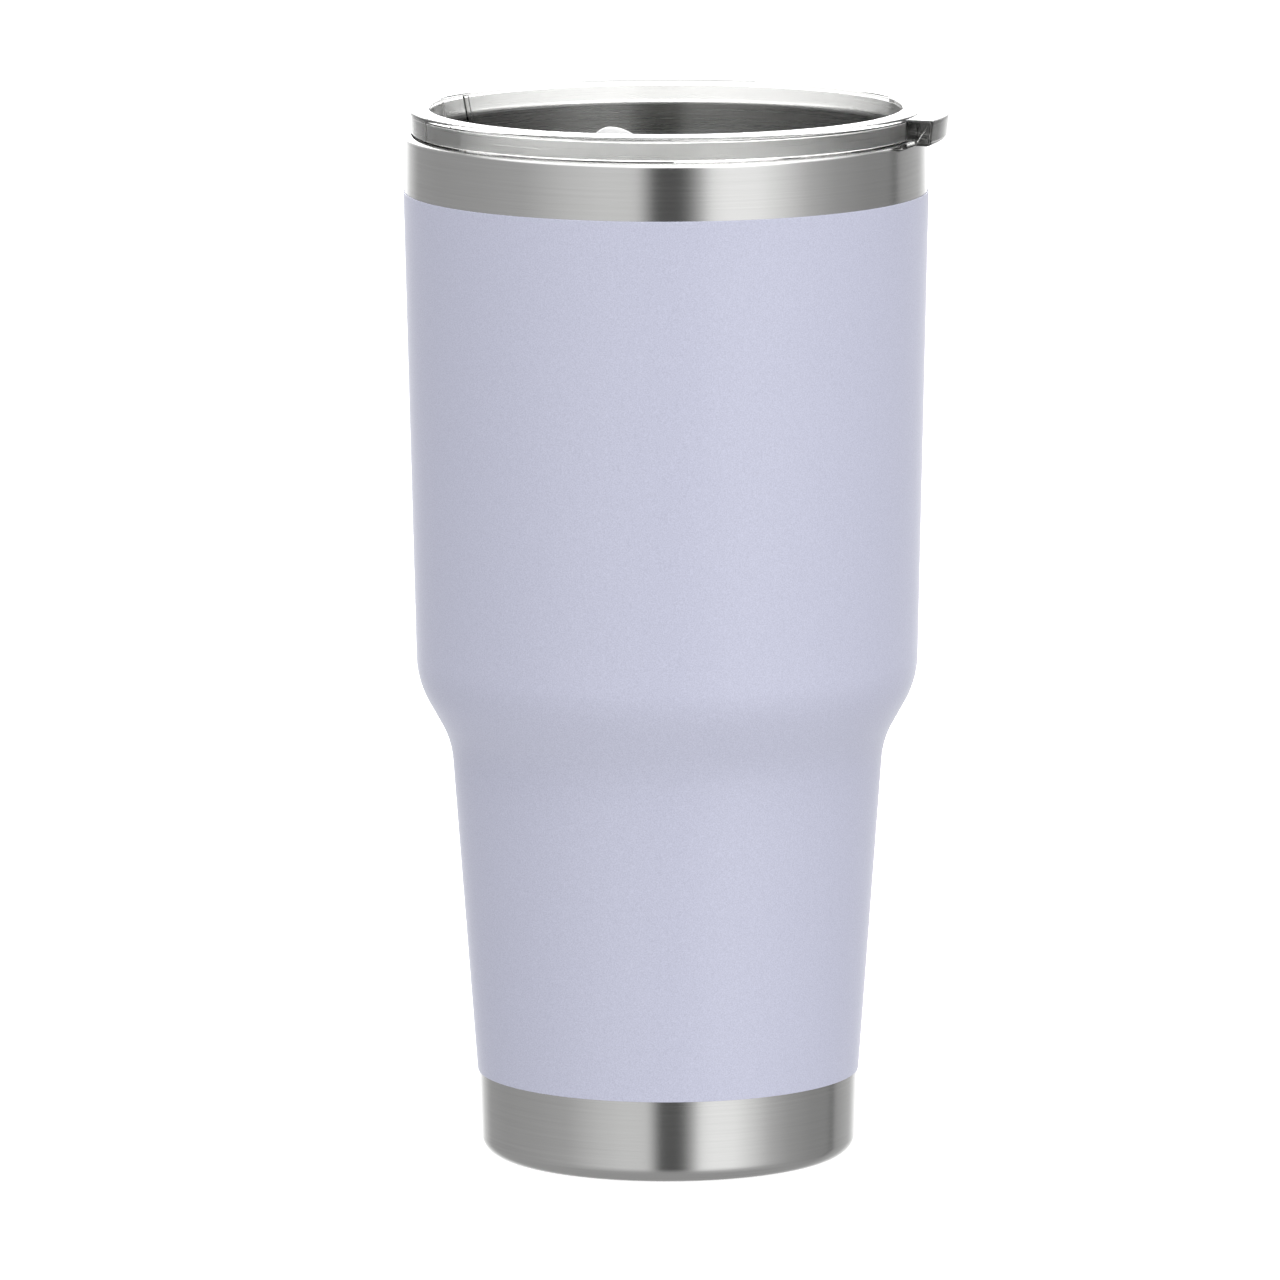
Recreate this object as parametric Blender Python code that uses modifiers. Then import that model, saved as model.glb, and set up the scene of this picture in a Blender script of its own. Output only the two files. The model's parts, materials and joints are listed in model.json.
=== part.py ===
"""Insulated tumbler with a clear push-on lid.

The cup is two drawn steel walls with a vacuum between them, closed by a disc with an
evacuation port and hidden by a flat base cover. The lid is a clear moulding with a
silicone gasket, a sliding closure and a wide thumb lip.

The axis of the cup is Z and its base stands on Z = 0. The thumb lip points to +X and the
drink opening is at -X. Heights of lid pieces are counted from the mouth of the cup.
"""

import math

import bmesh
import bpy

MM = 0.001
SEGMENTS = 40  # flats round every turned piece
ARC_STEPS = 3  # flats along every rounded corner of a profile

# Cup
MOUTH_Z = 201.0 * MM
MOUTH_RADIUS = 50.75 * MM
LIP_ROUND = 1.2 * MM
SHELL_WALL = 0.6 * MM
BAND_TOP_Z = 190.0 * MM  # the coat's upper edge
BAND_BOTTOM_Z = 16.4 * MM  # the coat's lower edge
UPPER_RADIUS = 50.9 * MM  # bare steel at the coat's upper edge
SHOULDER_TOP = (48.7 * MM, 93.9 * MM)
SHOULDER_BOTTOM = (42.05 * MM, 82.0 * MM)
SHOULDER_ROUND = 18.0 * MM
LOWER_RADIUS = 37.2 * MM  # bare steel at the coat's lower edge
FOOT_RADIUS = 36.7 * MM
FOOT_ROUND = 3.3 * MM
FOOT_OPENING_RADIUS = 32.0 * MM
COAT_GAP = 0.05 * MM
COAT_THICKNESS = 0.2 * MM

# Liner, by its vacuum side
LINER_WALL = 0.6 * MM
SEAM = 0.1 * MM  # the weld line in the top of the lip
LINER_MOUTH_RADIUS = 49.5 * MM
LINER_STEP_TOP_Z = 187.8 * MM
LINER_STEP_BOTTOM = (47.0 * MM, 183.6 * MM)
LINER_STEP_ROUND = 2.5 * MM
LINER_SHOULDER_TOP = (44.7 * MM, 93.1 * MM)
LINER_SHOULDER_BOTTOM = (38.1 * MM, 81.1 * MM)
LINER_FOOT_RADIUS = 32.9 * MM
LINER_BOTTOM_Z = 11.4 * MM
LINER_FOOT_ROUND = 7.0 * MM
FOIL_GAP = 0.3 * MM
FOIL_THICKNESS = 0.2 * MM
FOIL_TOP_Z = 178.0 * MM
FOIL_BOTTOM_Z = 22.0 * MM

# Bottom of the cup
DISC_RADIUS = 35.4 * MM
DISC_Z = 3.6 * MM
DISC_THICKNESS = 0.8 * MM
PORT_RADIUS = 0.8 * MM
PORT_DISH_RADIUS = 5.0 * MM
PORT_DISH_RISE = 1.0 * MM
SEAL_BEAD_RADIUS = 3.2 * MM
SEAL_BEAD_HEIGHT = 0.7 * MM
GETTER_X = 17.0 * MM
GETTER_RADIUS = 5.0 * MM
GETTER_HEIGHT = 2.2 * MM
CLIP_WIDTH = 4.0 * MM
CLIP_THICKNESS = 0.5 * MM
CLIP_SPAN = 17.0 * MM
COVER_RADIUS = 31.7 * MM
COVER_THICKNESS = 0.7 * MM
COVER_SKIRT = 2.4 * MM
COVER_GROOVE_RADIUS = 25.5 * MM
COVER_GROOVE_HALF = 1.2 * MM
COVER_GROOVE_RISE = 0.5 * MM
FIT_GAP = 0.3 * MM

# Lid, heights from the mouth
CREST_RADIUS = 46.3 * MM
CREST_Z = 5.25 * MM
COLLAR_RADIUS = 49.75 * MM
COLLAR_FOOT_RADIUS = 49.5 * MM
COLLAR_SHOULDER_Z = 5.0 * MM
COLLAR_BOTTOM_Z = 0.3 * MM
CHANNEL_OUTER_RADIUS = 48.6 * MM
PLUG_RADIUS = 47.4 * MM
CHANNEL_TOP_Z = 4.0 * MM
RIB_ANGLES = (math.radians(160.0), math.radians(200.0))
RIB_WIDTH = 0.9 * MM
RIB_TOP_Z = 4.3 * MM
RECESS_TOP_RADIUS = 46.0 * MM
RECESS_FLOOR_RADIUS = 43.3 * MM
FLOOR_TOP_Z = -8.0 * MM
FLOOR_THICKNESS = 2.0 * MM
SEAT_RADIUS = 46.0 * MM
SEAT_TOP_Z = -6.4 * MM
SEAT_BOTTOM_Z = -10.4 * MM
FLANGE_RADIUS = 47.5 * MM
PLUG_BOTTOM_Z = -12.2 * MM
PLUG_BORE_RADIUS = 44.2 * MM
THUMB_LIP_RADIUS = 55.2 * MM
THUMB_LIP_HALF_ANGLE = math.radians(21.5)
THUMB_LIP_TOP_Z = 4.6 * MM
THUMB_LIP_BOTTOM_Z = -0.5 * MM  # outside the rim it hangs a little below the mouth
THUMB_LIP_DROP_RADIUS = 51.2 * MM
THUMB_LIP_STEPS = 8
MARK_ANGLE = math.radians(30.6)  # of the two moulded ridges, each side of the drink opening
MARK_WIDTH = 1.1 * MM
MARK_DEPTH = 0.7 * MM

# Gasket
GASKET_BORE_RADIUS = 46.2 * MM
GASKET_WEB_RADIUS = 47.2 * MM
GASKET_LIP_RADIUS = 48.5 * MM

# Closure
DRINK_X = (-39.0 * MM, -31.0 * MM)
DRINK_HALF_WIDTH = 9.0 * MM
DRINK_CORNER = 3.9 * MM
VENT_X = 33.0 * MM
VENT_RADIUS = 1.5 * MM
SLIDER_TRAVEL = 14.0 * MM
SLIDER_END_RADIUS = 42.3 * MM  # its outer end follows the wall of the recess
SLIDER_BACK_X = 1.5 * MM
SLIDER_HALF_WIDTH = 13.0 * MM
SLIDER_CORNER = 5.0 * MM
SLIDER_THICKNESS = 2.0 * MM
NUB_X = -10.9 * MM
NUB_FRONT = 7.0 * MM  # how far the nub reaches towards the drink opening
NUB_BACK = 10.6 * MM
NUB_HALF_WIDTH = 4.8 * MM
NUB_TOP_Z = 1.25 * MM
NUB_WAIST = 2.2  # 1 gives an egg, more gives it hollow flanks
LEG_X = (-25.5 * MM, -17.5 * MM)
LEG_HALF_WIDTH = 2.1 * MM
LEG_SLIT_HALF = 0.5 * MM
HOOK_REACH = 1.2 * MM
HOOK_HEIGHT = 1.4 * MM
SLOT_HALF_WIDTH = 2.5 * MM
SEAL_X = (-40.4 * MM, -29.4 * MM)
SEAL_HALF_WIDTH = 10.4 * MM
SEAL_CORNER = 4.5 * MM
SEAL_POCKET = 1.0 * MM
SEAL_CLEARANCE = 0.15 * MM

COLOURS = {  # linear colour, metallic, roughness
    "brushed_steel": ((0.55, 0.55, 0.54), 1.0, 0.32),
    "lavender_powder_coat": ((0.53, 0.54, 0.68), 0.0, 0.5),
    "copper_foil": ((0.75, 0.33, 0.20), 1.0, 0.25),
    "clear_plastic": ((0.85, 0.87, 0.88), 0.0, 0.05),
    "frosted_plastic": ((0.85, 0.86, 0.87), 0.0, 0.4),
    "silicone": ((0.78, 0.79, 0.80), 0.0, 0.55),
    "solder": ((0.35, 0.36, 0.37), 1.0, 0.4),
    "getter_metal": ((0.25, 0.25, 0.26), 1.0, 0.6),
}


def clear_scene():
    for obj in list(bpy.data.objects):
        bpy.data.objects.remove(obj, do_unlink=True)


def new_collection(name):
    collection = bpy.data.collections.new(name)
    bpy.context.scene.collection.children.link(collection)
    return collection


def material(name):
    colour, metallic, roughness = COLOURS[name]
    made = bpy.data.materials.get(name) or bpy.data.materials.new(name)
    made.use_nodes = True
    shader = made.node_tree.nodes["Principled BSDF"]
    shader.inputs["Base Color"].default_value = (*colour, 1.0)
    shader.inputs["Metallic"].default_value = metallic
    shader.inputs["Roughness"].default_value = roughness
    return made


def add_object(name, bm, finish, parent=None):
    """Puts a finished bmesh in the scene as one named part."""
    mesh = bpy.data.meshes.new(name)
    bm.to_mesh(mesh)
    bm.free()
    obj = bpy.data.objects.new(name, mesh)
    PARTS.objects.link(obj)
    obj.parent = parent
    mesh.materials.append(material(finish))
    return obj


def make_cutter(obj):
    """Turns a part into a helper that only cuts or joins others."""
    PARTS.objects.unlink(obj)
    CUTTERS.objects.link(obj)
    obj.hide_render = True
    obj.display_type = "WIRE"
    return obj


def rounded_path(corners):
    """The (r, z) points of a path through corners (r, z, radius), with an arc at each rounded one."""
    points = []
    for i, (r, z, radius) in enumerate(corners):
        if radius == 0.0:
            points.append((r, z))
            continue
        before = (corners[i - 1][0] - r, corners[i - 1][1] - z)
        after = (corners[i + 1][0] - r, corners[i + 1][1] - z)
        a = math.atan2(before[1], before[0])
        b = math.atan2(after[1], after[0])
        between = (b - a + math.pi) % (2 * math.pi) - math.pi
        half = abs(between) / 2
        reach = radius / math.sin(half)
        middle = a + between / 2
        centre = (r + reach * math.cos(middle), z + reach * math.sin(middle))
        turn = math.copysign(math.pi / 2 - half, between)
        for step in range(ARC_STEPS + 1):
            angle = middle + math.pi + turn * (1 - 2 * step / ARC_STEPS)
            points.append((centre[0] + radius * math.cos(angle), centre[1] + radius * math.sin(angle)))
    return points


def offset_path(points, distance):
    """The same path moved sideways, outwards for a path that runs down its outer side."""
    moved = []
    for i, (r, z) in enumerate(points):
        before = points[max(i - 1, 0)]
        after = points[min(i + 1, len(points) - 1)]
        normals = []
        for start, end in ((before, (r, z)), ((r, z), after)):
            length = math.hypot(end[0] - start[0], end[1] - start[1])
            if length > 0.0:
                normals.append((-(end[1] - start[1]) / length, (end[0] - start[0]) / length))
        n = (sum(x for x, _ in normals) / len(normals), sum(y for _, y in normals) / len(normals))
        share = distance / (n[0] ** 2 + n[1] ** 2)
        moved.append((r + n[0] * share, z + n[1] * share))
    return moved


def turned(name, points, finish, closed=False, parent=None):
    """A profile in the XZ plane turned about Z. It runs down its outer side."""
    bm = bmesh.new()
    verts = [bm.verts.new((r, 0.0, z)) for r, z in points]
    ends = verts[1:] + (verts[:1] if closed else [])
    for start, end in zip(verts, ends):
        bm.edges.new((start, end))
    obj = add_object(name, bm, finish, parent)
    screw = obj.modifiers.new("turn", "SCREW")
    screw.axis = "Z"
    screw.steps = SEGMENTS
    screw.render_steps = SEGMENTS
    screw.use_merge_vertices = True
    screw.merge_threshold = 0.00001
    screw.use_smooth_shade = True
    return obj


def drawn(name, points, thickness, finish, parent=None):
    """Sheet metal of one thickness behind a turned profile."""
    obj = turned(name, points, finish, parent=parent)
    wall = obj.modifiers.new("wall", "SOLIDIFY")
    wall.thickness = thickness
    wall.offset = -1.0
    wall.use_even_offset = True
    return obj


def block(name, low, high, finish, parent=None, corner=0.0):
    """A box between two corners, with its upright edges rounded."""
    bm = bmesh.new()
    bmesh.ops.create_cube(bm, size=1.0)
    size = [h - l for l, h in zip(low, high)]
    bmesh.ops.scale(bm, vec=size, verts=bm.verts)
    bmesh.ops.translate(bm, vec=[(l + h) / 2 for l, h in zip(low, high)], verts=bm.verts)
    if corner:
        upright = [e for e in bm.edges if abs(e.verts[0].co.z - e.verts[1].co.z) > size[2] / 2]
        bmesh.ops.bevel(
            bm, geom=upright, offset=corner, segments=5, profile=0.5, affect="EDGES", material=-1
        )
    return add_object(name, bm, finish, parent)


def cylinder(name, radius, low_z, high_z, centre, finish, parent=None, segments=32):
    bm = bmesh.new()
    bmesh.ops.create_cone(
        bm, cap_ends=True, segments=segments, radius1=radius, radius2=radius, depth=high_z - low_z
    )
    bmesh.ops.translate(bm, vec=(*centre, (low_z + high_z) / 2), verts=bm.verts)
    return add_object(name, bm, finish, parent)


def combine(obj, operation, *others):
    for other in others:
        boolean = obj.modifiers.new(f"{operation.lower()}_{other.name}", "BOOLEAN")
        boolean.operation = operation
        boolean.object = make_cutter(other)


def steel_side():
    """The outside of the steel from the coat's upper edge to its lower edge."""
    return rounded_path(
        [
            (UPPER_RADIUS, BAND_TOP_Z, 0.0),
            (*SHOULDER_TOP, SHOULDER_ROUND),
            (*SHOULDER_BOTTOM, SHOULDER_ROUND),
            (LOWER_RADIUS, BAND_BOTTOM_Z, 0.0),
        ]
    )


def liner_side():
    """The vacuum side of the liner from below its mouth step to above its foot."""
    return rounded_path(
        [
            (*LINER_STEP_BOTTOM, 0.0),
            (*LINER_SHOULDER_TOP, SHOULDER_ROUND),
            (*LINER_SHOULDER_BOTTOM, SHOULDER_ROUND),
            (LINER_FOOT_RADIUS, LINER_BOTTOM_Z, 0.0),
        ]
    )


def make_outer_shell():
    lip = rounded_path(
        [
            (LINER_MOUTH_RADIUS + SEAM, MOUTH_Z, 0.0),
            (MOUTH_RADIUS, MOUTH_Z, LIP_ROUND * 0.95),
            (UPPER_RADIUS, BAND_TOP_Z, 0.0),
        ]
    )
    foot = rounded_path(
        [
            (LOWER_RADIUS, BAND_BOTTOM_Z, 0.0),
            (FOOT_RADIUS, 0.0, FOOT_ROUND),
            (FOOT_OPENING_RADIUS, 0.0, 0.0),
        ]
    )
    drawn("outer_shell", lip[:-1] + steel_side() + foot[1:], SHELL_WALL, "brushed_steel")


def make_powder_coat():
    outside = offset_path(steel_side(), COAT_GAP + COAT_THICKNESS)
    drawn("powder_coat", outside, COAT_THICKNESS, "lavender_powder_coat")


def make_inner_liner():
    mouth = rounded_path(
        [
            (LINER_MOUTH_RADIUS, MOUTH_Z, 0.0),
            (LINER_MOUTH_RADIUS, LINER_STEP_TOP_Z, LINER_STEP_ROUND),
            (*LINER_STEP_BOTTOM, 0.0),
        ]
    )
    side = liner_side()
    foot = rounded_path(
        [(*side[-2], 0.0), (LINER_FOOT_RADIUS, LINER_BOTTOM_Z, LINER_FOOT_ROUND), (0.0, LINER_BOTTOM_Z, 0.0)]
    )
    drawn("inner_liner", mouth + side[1:-1] + foot[1:], LINER_WALL, "brushed_steel")


def make_copper_foil():
    """A loose wrap on the straight stretches and the shoulder of the liner."""
    side = liner_side()
    top_share = (side[0][1] - FOIL_TOP_Z) / (side[0][1] - side[1][1])
    bottom_share = (FOIL_BOTTOM_Z - side[-1][1]) / (side[-2][1] - side[-1][1])
    top = (side[0][0] + (side[1][0] - side[0][0]) * top_share, FOIL_TOP_Z)
    bottom = (side[-1][0] + (side[-2][0] - side[-1][0]) * bottom_share, FOIL_BOTTOM_Z)
    outside = offset_path([top, *side[1:-1], bottom], FOIL_GAP + FOIL_THICKNESS)
    drawn("copper_foil", outside, FOIL_THICKNESS, "copper_foil")


def make_outer_bottom():
    top = DISC_Z + DISC_THICKNESS
    slope = PORT_DISH_RISE
    turned(
        "outer_bottom",
        [
            (PORT_RADIUS, top + PORT_DISH_RISE),
            (PORT_DISH_RADIUS, top + PORT_DISH_RISE),
            (PORT_DISH_RADIUS + slope, top),
            (DISC_RADIUS, top),
            (DISC_RADIUS, DISC_Z),
            (PORT_DISH_RADIUS + slope * 0.6, DISC_Z),
            (PORT_DISH_RADIUS - slope * 0.4, DISC_Z + PORT_DISH_RISE),
            (PORT_RADIUS, DISC_Z + PORT_DISH_RISE),
        ],
        "brushed_steel",
        closed=True,
    )


def make_port_seal():
    top = DISC_Z + PORT_DISH_RISE - SEAM
    turned(
        "port_seal",
        [
            (0.0, top),
            (SEAL_BEAD_RADIUS, top),
            (SEAL_BEAD_RADIUS * 0.85, top - SEAL_BEAD_HEIGHT * 0.7),
            (0.0, top - SEAL_BEAD_HEIGHT),
        ],
        "solder",
    )


def make_getter():
    low = DISC_Z + DISC_THICKNESS + FIT_GAP
    cylinder("getter", GETTER_RADIUS, low, low + GETTER_HEIGHT, (GETTER_X, 0.0), "getter_metal", segments=24)


def make_getter_clip():
    """A strap bent over the pellet, with a foot on the disc at each end."""
    foot_z = DISC_Z + DISC_THICKNESS + SEAM
    bridge_z = foot_z + GETTER_HEIGHT + 2 * FIT_GAP
    rise = GETTER_RADIUS + 2 * FIT_GAP
    centre_line = [
        (-CLIP_SPAN / 2, foot_z),
        (-rise, foot_z),
        (-rise, bridge_z),
        (rise, bridge_z),
        (rise, foot_z),
        (CLIP_SPAN / 2, foot_z),
    ]
    bm = bmesh.new()
    verts = [bm.verts.new((GETTER_X - CLIP_WIDTH / 2, y, z)) for y, z in centre_line]
    edges = [bm.edges.new(pair) for pair in zip(verts, verts[1:])]
    swept = bmesh.ops.extrude_edge_only(bm, edges=edges)["geom"]
    moved = [v for v in swept if isinstance(v, bmesh.types.BMVert)]
    bmesh.ops.translate(bm, vec=(CLIP_WIDTH, 0.0, 0.0), verts=moved)
    bmesh.ops.recalc_face_normals(bm, faces=bm.faces)
    if sum(f.normal.z * f.calc_area() for f in bm.faces) < 0.0:
        bmesh.ops.reverse_faces(bm, faces=bm.faces)
    obj = add_object("getter_clip", bm, "brushed_steel")
    wall = obj.modifiers.new("wall", "SOLIDIFY")
    wall.thickness = CLIP_THICKNESS
    wall.offset = 1.0
    wall.use_even_offset = True


def make_base_cover():
    """A shallow pressed lid, open upwards, with one ring pressed in its underside."""
    groove = COVER_GROOVE_RADIUS
    half = COVER_GROOVE_HALF
    rise = COVER_GROOVE_RISE
    outside = [
        (COVER_RADIUS, COVER_SKIRT),
        (COVER_RADIUS, 0.5 * MM),
        (COVER_RADIUS - 0.5 * MM, 0.0),
        (groove + half, 0.0),
        (groove + half - rise, rise),
        (groove - half + rise, rise),
        (groove - half, 0.0),
        (0.0, 0.0),
    ]
    drawn("base_cover", outside, COVER_THICKNESS, "brushed_steel")


def lid_profile():
    """The lid's section from the middle of the recess floor, up, over the crest and down to its underside."""
    floor_bottom = FLOOR_TOP_Z - FLOOR_THICKNESS
    corners = [
        (0.0, FLOOR_TOP_Z, 0.0),
        (RECESS_FLOOR_RADIUS, FLOOR_TOP_Z, 1.0 * MM),
        (RECESS_TOP_RADIUS, CREST_Z - 0.3 * MM, 0.0),
        (CREST_RADIUS, CREST_Z, 0.0),
        (COLLAR_RADIUS, COLLAR_SHOULDER_Z, 0.8 * MM),
        (COLLAR_FOOT_RADIUS, COLLAR_BOTTOM_Z, 0.4 * MM),
        (CHANNEL_OUTER_RADIUS, COLLAR_BOTTOM_Z, 0.0),
        (CHANNEL_OUTER_RADIUS, CHANNEL_TOP_Z, 0.0),
        (PLUG_RADIUS, CHANNEL_TOP_Z, 0.0),
        (PLUG_RADIUS, SEAT_TOP_Z, 0.0),
        (SEAT_RADIUS, SEAT_TOP_Z, 0.0),
        (SEAT_RADIUS, SEAT_BOTTOM_Z, 0.0),
        (FLANGE_RADIUS, SEAT_BOTTOM_Z, 0.0),
        (FLANGE_RADIUS, PLUG_BOTTOM_Z + 0.8 * MM, 0.0),
        (FLANGE_RADIUS - 0.8 * MM, PLUG_BOTTOM_Z, 0.0),
        (PLUG_BORE_RADIUS, PLUG_BOTTOM_Z, 0.0),
        (PLUG_BORE_RADIUS, floor_bottom, 0.0),
        (0.0, floor_bottom, 0.0),
    ]
    return rounded_path(corners)


def sector(name, points, first_angle, last_angle, steps, finish, parent):
    """A closed section swept round Z through part of a turn."""
    bm = bmesh.new()
    verts = [bm.verts.new((r * math.cos(first_angle), r * math.sin(first_angle), z)) for r, z in points]
    face = bm.faces.new(verts)
    bmesh.ops.spin(
        bm,
        geom=[face, *face.edges, *face.verts],
        cent=(0.0, 0.0, 0.0),
        axis=(0.0, 0.0, 1.0),
        angle=last_angle - first_angle,
        steps=steps,
    )
    bmesh.ops.recalc_face_normals(bm, faces=bm.faces)
    return add_object(name, bm, finish, parent)


def thumb_lip(parent):
    root = CHANNEL_OUTER_RADIUS + 0.3 * MM
    edge = 0.8 * MM
    section = [
        (root, COLLAR_BOTTOM_Z),
        (THUMB_LIP_DROP_RADIUS, COLLAR_BOTTOM_Z),
        (THUMB_LIP_DROP_RADIUS + 0.4 * MM, THUMB_LIP_BOTTOM_Z),
        (THUMB_LIP_RADIUS - edge * 1.5, THUMB_LIP_BOTTOM_Z),
        (THUMB_LIP_RADIUS - edge * 0.7, THUMB_LIP_BOTTOM_Z + edge * 0.6),
        (THUMB_LIP_RADIUS, THUMB_LIP_TOP_Z - edge),
        (THUMB_LIP_RADIUS - edge * 0.3, THUMB_LIP_TOP_Z - edge * 0.3),
        (THUMB_LIP_RADIUS - edge, THUMB_LIP_TOP_Z),
        (root, THUMB_LIP_TOP_Z),
    ]
    half = THUMB_LIP_HALF_ANGLE
    return sector("thumb_lip", section, -half, half, THUMB_LIP_STEPS, "clear_plastic", parent)


def collar_rib(number, angle, parent):
    """One web across the hollow of the collar."""
    low = (PLUG_RADIUS - 0.3 * MM, -RIB_WIDTH / 2, COLLAR_BOTTOM_Z)
    high = (CHANNEL_OUTER_RADIUS + 0.3 * MM, RIB_WIDTH / 2, RIB_TOP_Z)
    rib = block(f"collar_rib_{number + 1}", low, high, "clear_plastic", parent)
    rib.rotation_euler.z = angle
    return rib


def recess_mark(name, side, parent):
    """One moulded ridge up the leaning wall of the recess."""
    angle = math.pi - side * MARK_ANGLE
    half = math.asin(MARK_WIDTH / 2 / RECESS_TOP_RADIUS)
    top = CREST_Z - 0.5 * MM
    bottom = FLOOR_TOP_Z + 1.5 * MM
    lean = (RECESS_TOP_RADIUS - RECESS_FLOOR_RADIUS) / (CREST_Z - FLOOR_TOP_Z)
    wall_top = RECESS_FLOOR_RADIUS + lean * (top - FLOOR_TOP_Z)
    wall_bottom = RECESS_FLOOR_RADIUS + lean * (bottom - FLOOR_TOP_Z)
    section = [
        (wall_bottom + 0.5 * MM, bottom),
        (wall_top + 0.5 * MM, top),
        (wall_top - MARK_DEPTH, top),
        (wall_bottom - MARK_DEPTH, bottom),
    ]
    return sector(name, section, angle - half, angle + half, 1, "clear_plastic", parent)


def make_lid_body(frame):
    lid = turned("lid_body", lid_profile(), "clear_plastic", parent=frame)
    combine(lid, "UNION", thumb_lip(frame))
    combine(lid, "UNION", *[collar_rib(number, angle, frame) for number, angle in enumerate(RIB_ANGLES)])
    combine(lid, "UNION", recess_mark("mark_back", 1.0, frame), recess_mark("mark_front", -1.0, frame))
    low_z = PLUG_BOTTOM_Z
    high_z = FLOOR_TOP_Z + 2.0 * MM
    drink = block(
        "drink_opening_cutter",
        (DRINK_X[0], -DRINK_HALF_WIDTH, low_z),
        (DRINK_X[1], DRINK_HALF_WIDTH, high_z),
        "clear_plastic",
        frame,
        DRINK_CORNER,
    )
    slot = block(
        "slider_slot_cutter",
        (LEG_X[0] - FIT_GAP, -SLOT_HALF_WIDTH, low_z),
        (LEG_X[1] + SLIDER_TRAVEL + FIT_GAP, SLOT_HALF_WIDTH, high_z),
        "clear_plastic",
        frame,
    )
    vent = cylinder(
        "vent_cutter", VENT_RADIUS, low_z, high_z, (VENT_X, 0.0), "clear_plastic", frame, segments=16
    )
    combine(lid, "DIFFERENCE", drink, slot, vent)


def make_lid_gasket(frame):
    top = SEAT_TOP_Z - FIT_GAP
    bottom = SEAT_BOTTOM_Z + FIT_GAP
    reach = GASKET_LIP_RADIUS
    web = GASKET_WEB_RADIUS
    turned(
        "lid_gasket",
        [
            (GASKET_BORE_RADIUS, top),
            (web, top),
            (reach - 0.2 * MM, top - 0.1 * MM),
            (reach, top - 0.5 * MM),
            (web, top - 1.1 * MM),
            (web, bottom + 1.2 * MM),
            (reach - 0.2 * MM, bottom + 1.0 * MM),
            (reach, bottom + 0.6 * MM),
            (web, bottom),
            (GASKET_BORE_RADIUS, bottom),
        ],
        "silicone",
        closed=True,
        parent=frame,
    )


def thumb_nub(top_of_plate, frame):
    """Half an egg with hollow flanks, steeper on the side of the drink opening."""
    height = NUB_TOP_Z - top_of_plate + 0.2 * MM
    bm = bmesh.new()
    bmesh.ops.create_uvsphere(bm, u_segments=20, v_segments=12, radius=1.0)
    for vert in bm.verts:
        reach = NUB_FRONT if vert.co.x < 0.0 else NUB_BACK
        vert.co.x = vert.co.x * reach + NUB_X
        vert.co.y *= NUB_HALF_WIDTH
        rise = vert.co.z**NUB_WAIST if vert.co.z > 0.0 else vert.co.z
        vert.co.z = rise * height + top_of_plate - 0.2 * MM
    low = bmesh.ops.bisect_plane(
        bm,
        geom=[*bm.verts, *bm.edges, *bm.faces],
        plane_co=(0.0, 0.0, top_of_plate - 0.6 * MM),
        plane_no=(0.0, 0.0, -1.0),
        clear_outer=True,
    )["geom_cut"]
    bmesh.ops.holes_fill(bm, edges=[e for e in low if isinstance(e, bmesh.types.BMEdge)], sides=0)
    bmesh.ops.recalc_face_normals(bm, faces=bm.faces)
    return add_object("thumb_nub", bm, "frosted_plastic", frame)


def make_slider(frame):
    bottom = FLOOR_TOP_Z + FIT_GAP
    top = bottom + SLIDER_THICKNESS
    slider = block(
        "slider",
        (-SLIDER_END_RADIUS - 5.0 * MM, -SLIDER_HALF_WIDTH, bottom),
        (SLIDER_BACK_X, SLIDER_HALF_WIDTH, top),
        "frosted_plastic",
        frame,
        SLIDER_CORNER,
    )
    outer_end = cylinder(
        "slider_end_cutter",
        SLIDER_END_RADIUS,
        bottom - 2.0 * MM,
        top + 2.0 * MM,
        (0.0, 0.0),
        "frosted_plastic",
        frame,
        segments=64,
    )
    combine(slider, "INTERSECT", outer_end)
    combine(slider, "UNION", thumb_nub(top, frame))
    underside = FLOOR_TOP_Z - FLOOR_THICKNESS
    hook_top = underside - FIT_GAP
    hook_bottom = hook_top - HOOK_HEIGHT
    leg = block(
        "snap_leg",
        (LEG_X[0], -LEG_HALF_WIDTH, hook_bottom),
        (LEG_X[1], LEG_HALF_WIDTH, bottom + 0.5 * MM),
        "frosted_plastic",
        frame,
    )
    hook = block(
        "snap_hook",
        (LEG_X[0] + 1.0 * MM, -LEG_HALF_WIDTH - HOOK_REACH, hook_bottom + 0.4 * MM),
        (LEG_X[1] - 1.0 * MM, LEG_HALF_WIDTH + HOOK_REACH, hook_top),
        "frosted_plastic",
        frame,
    )
    slit = block(
        "leg_slit_cutter",
        (LEG_X[0] - 1.0 * MM, -LEG_SLIT_HALF, hook_bottom - 1.0 * MM),
        (LEG_X[1] + 1.0 * MM, LEG_SLIT_HALF, bottom - 0.5 * MM),
        "frosted_plastic",
        frame,
    )
    pocket = block(
        "seal_pocket_cutter",
        (SEAL_X[0] - FIT_GAP, -SEAL_HALF_WIDTH - FIT_GAP, bottom - 1.0 * MM),
        (SEAL_X[1] + FIT_GAP, SEAL_HALF_WIDTH + FIT_GAP, bottom + SEAL_POCKET),
        "frosted_plastic",
        frame,
        SEAL_CORNER,
    )
    combine(slider, "UNION", leg, hook)
    combine(slider, "DIFFERENCE", slit, pocket)


def make_slider_seal(frame):
    block(
        "slider_seal",
        (SEAL_X[0], -SEAL_HALF_WIDTH, FLOOR_TOP_Z + SEAL_CLEARANCE),
        (SEAL_X[1], SEAL_HALF_WIDTH, FLOOR_TOP_Z + FIT_GAP + SEAL_POCKET - SEAM),
        "silicone",
        frame,
        SEAL_CORNER - FIT_GAP,
    )


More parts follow.
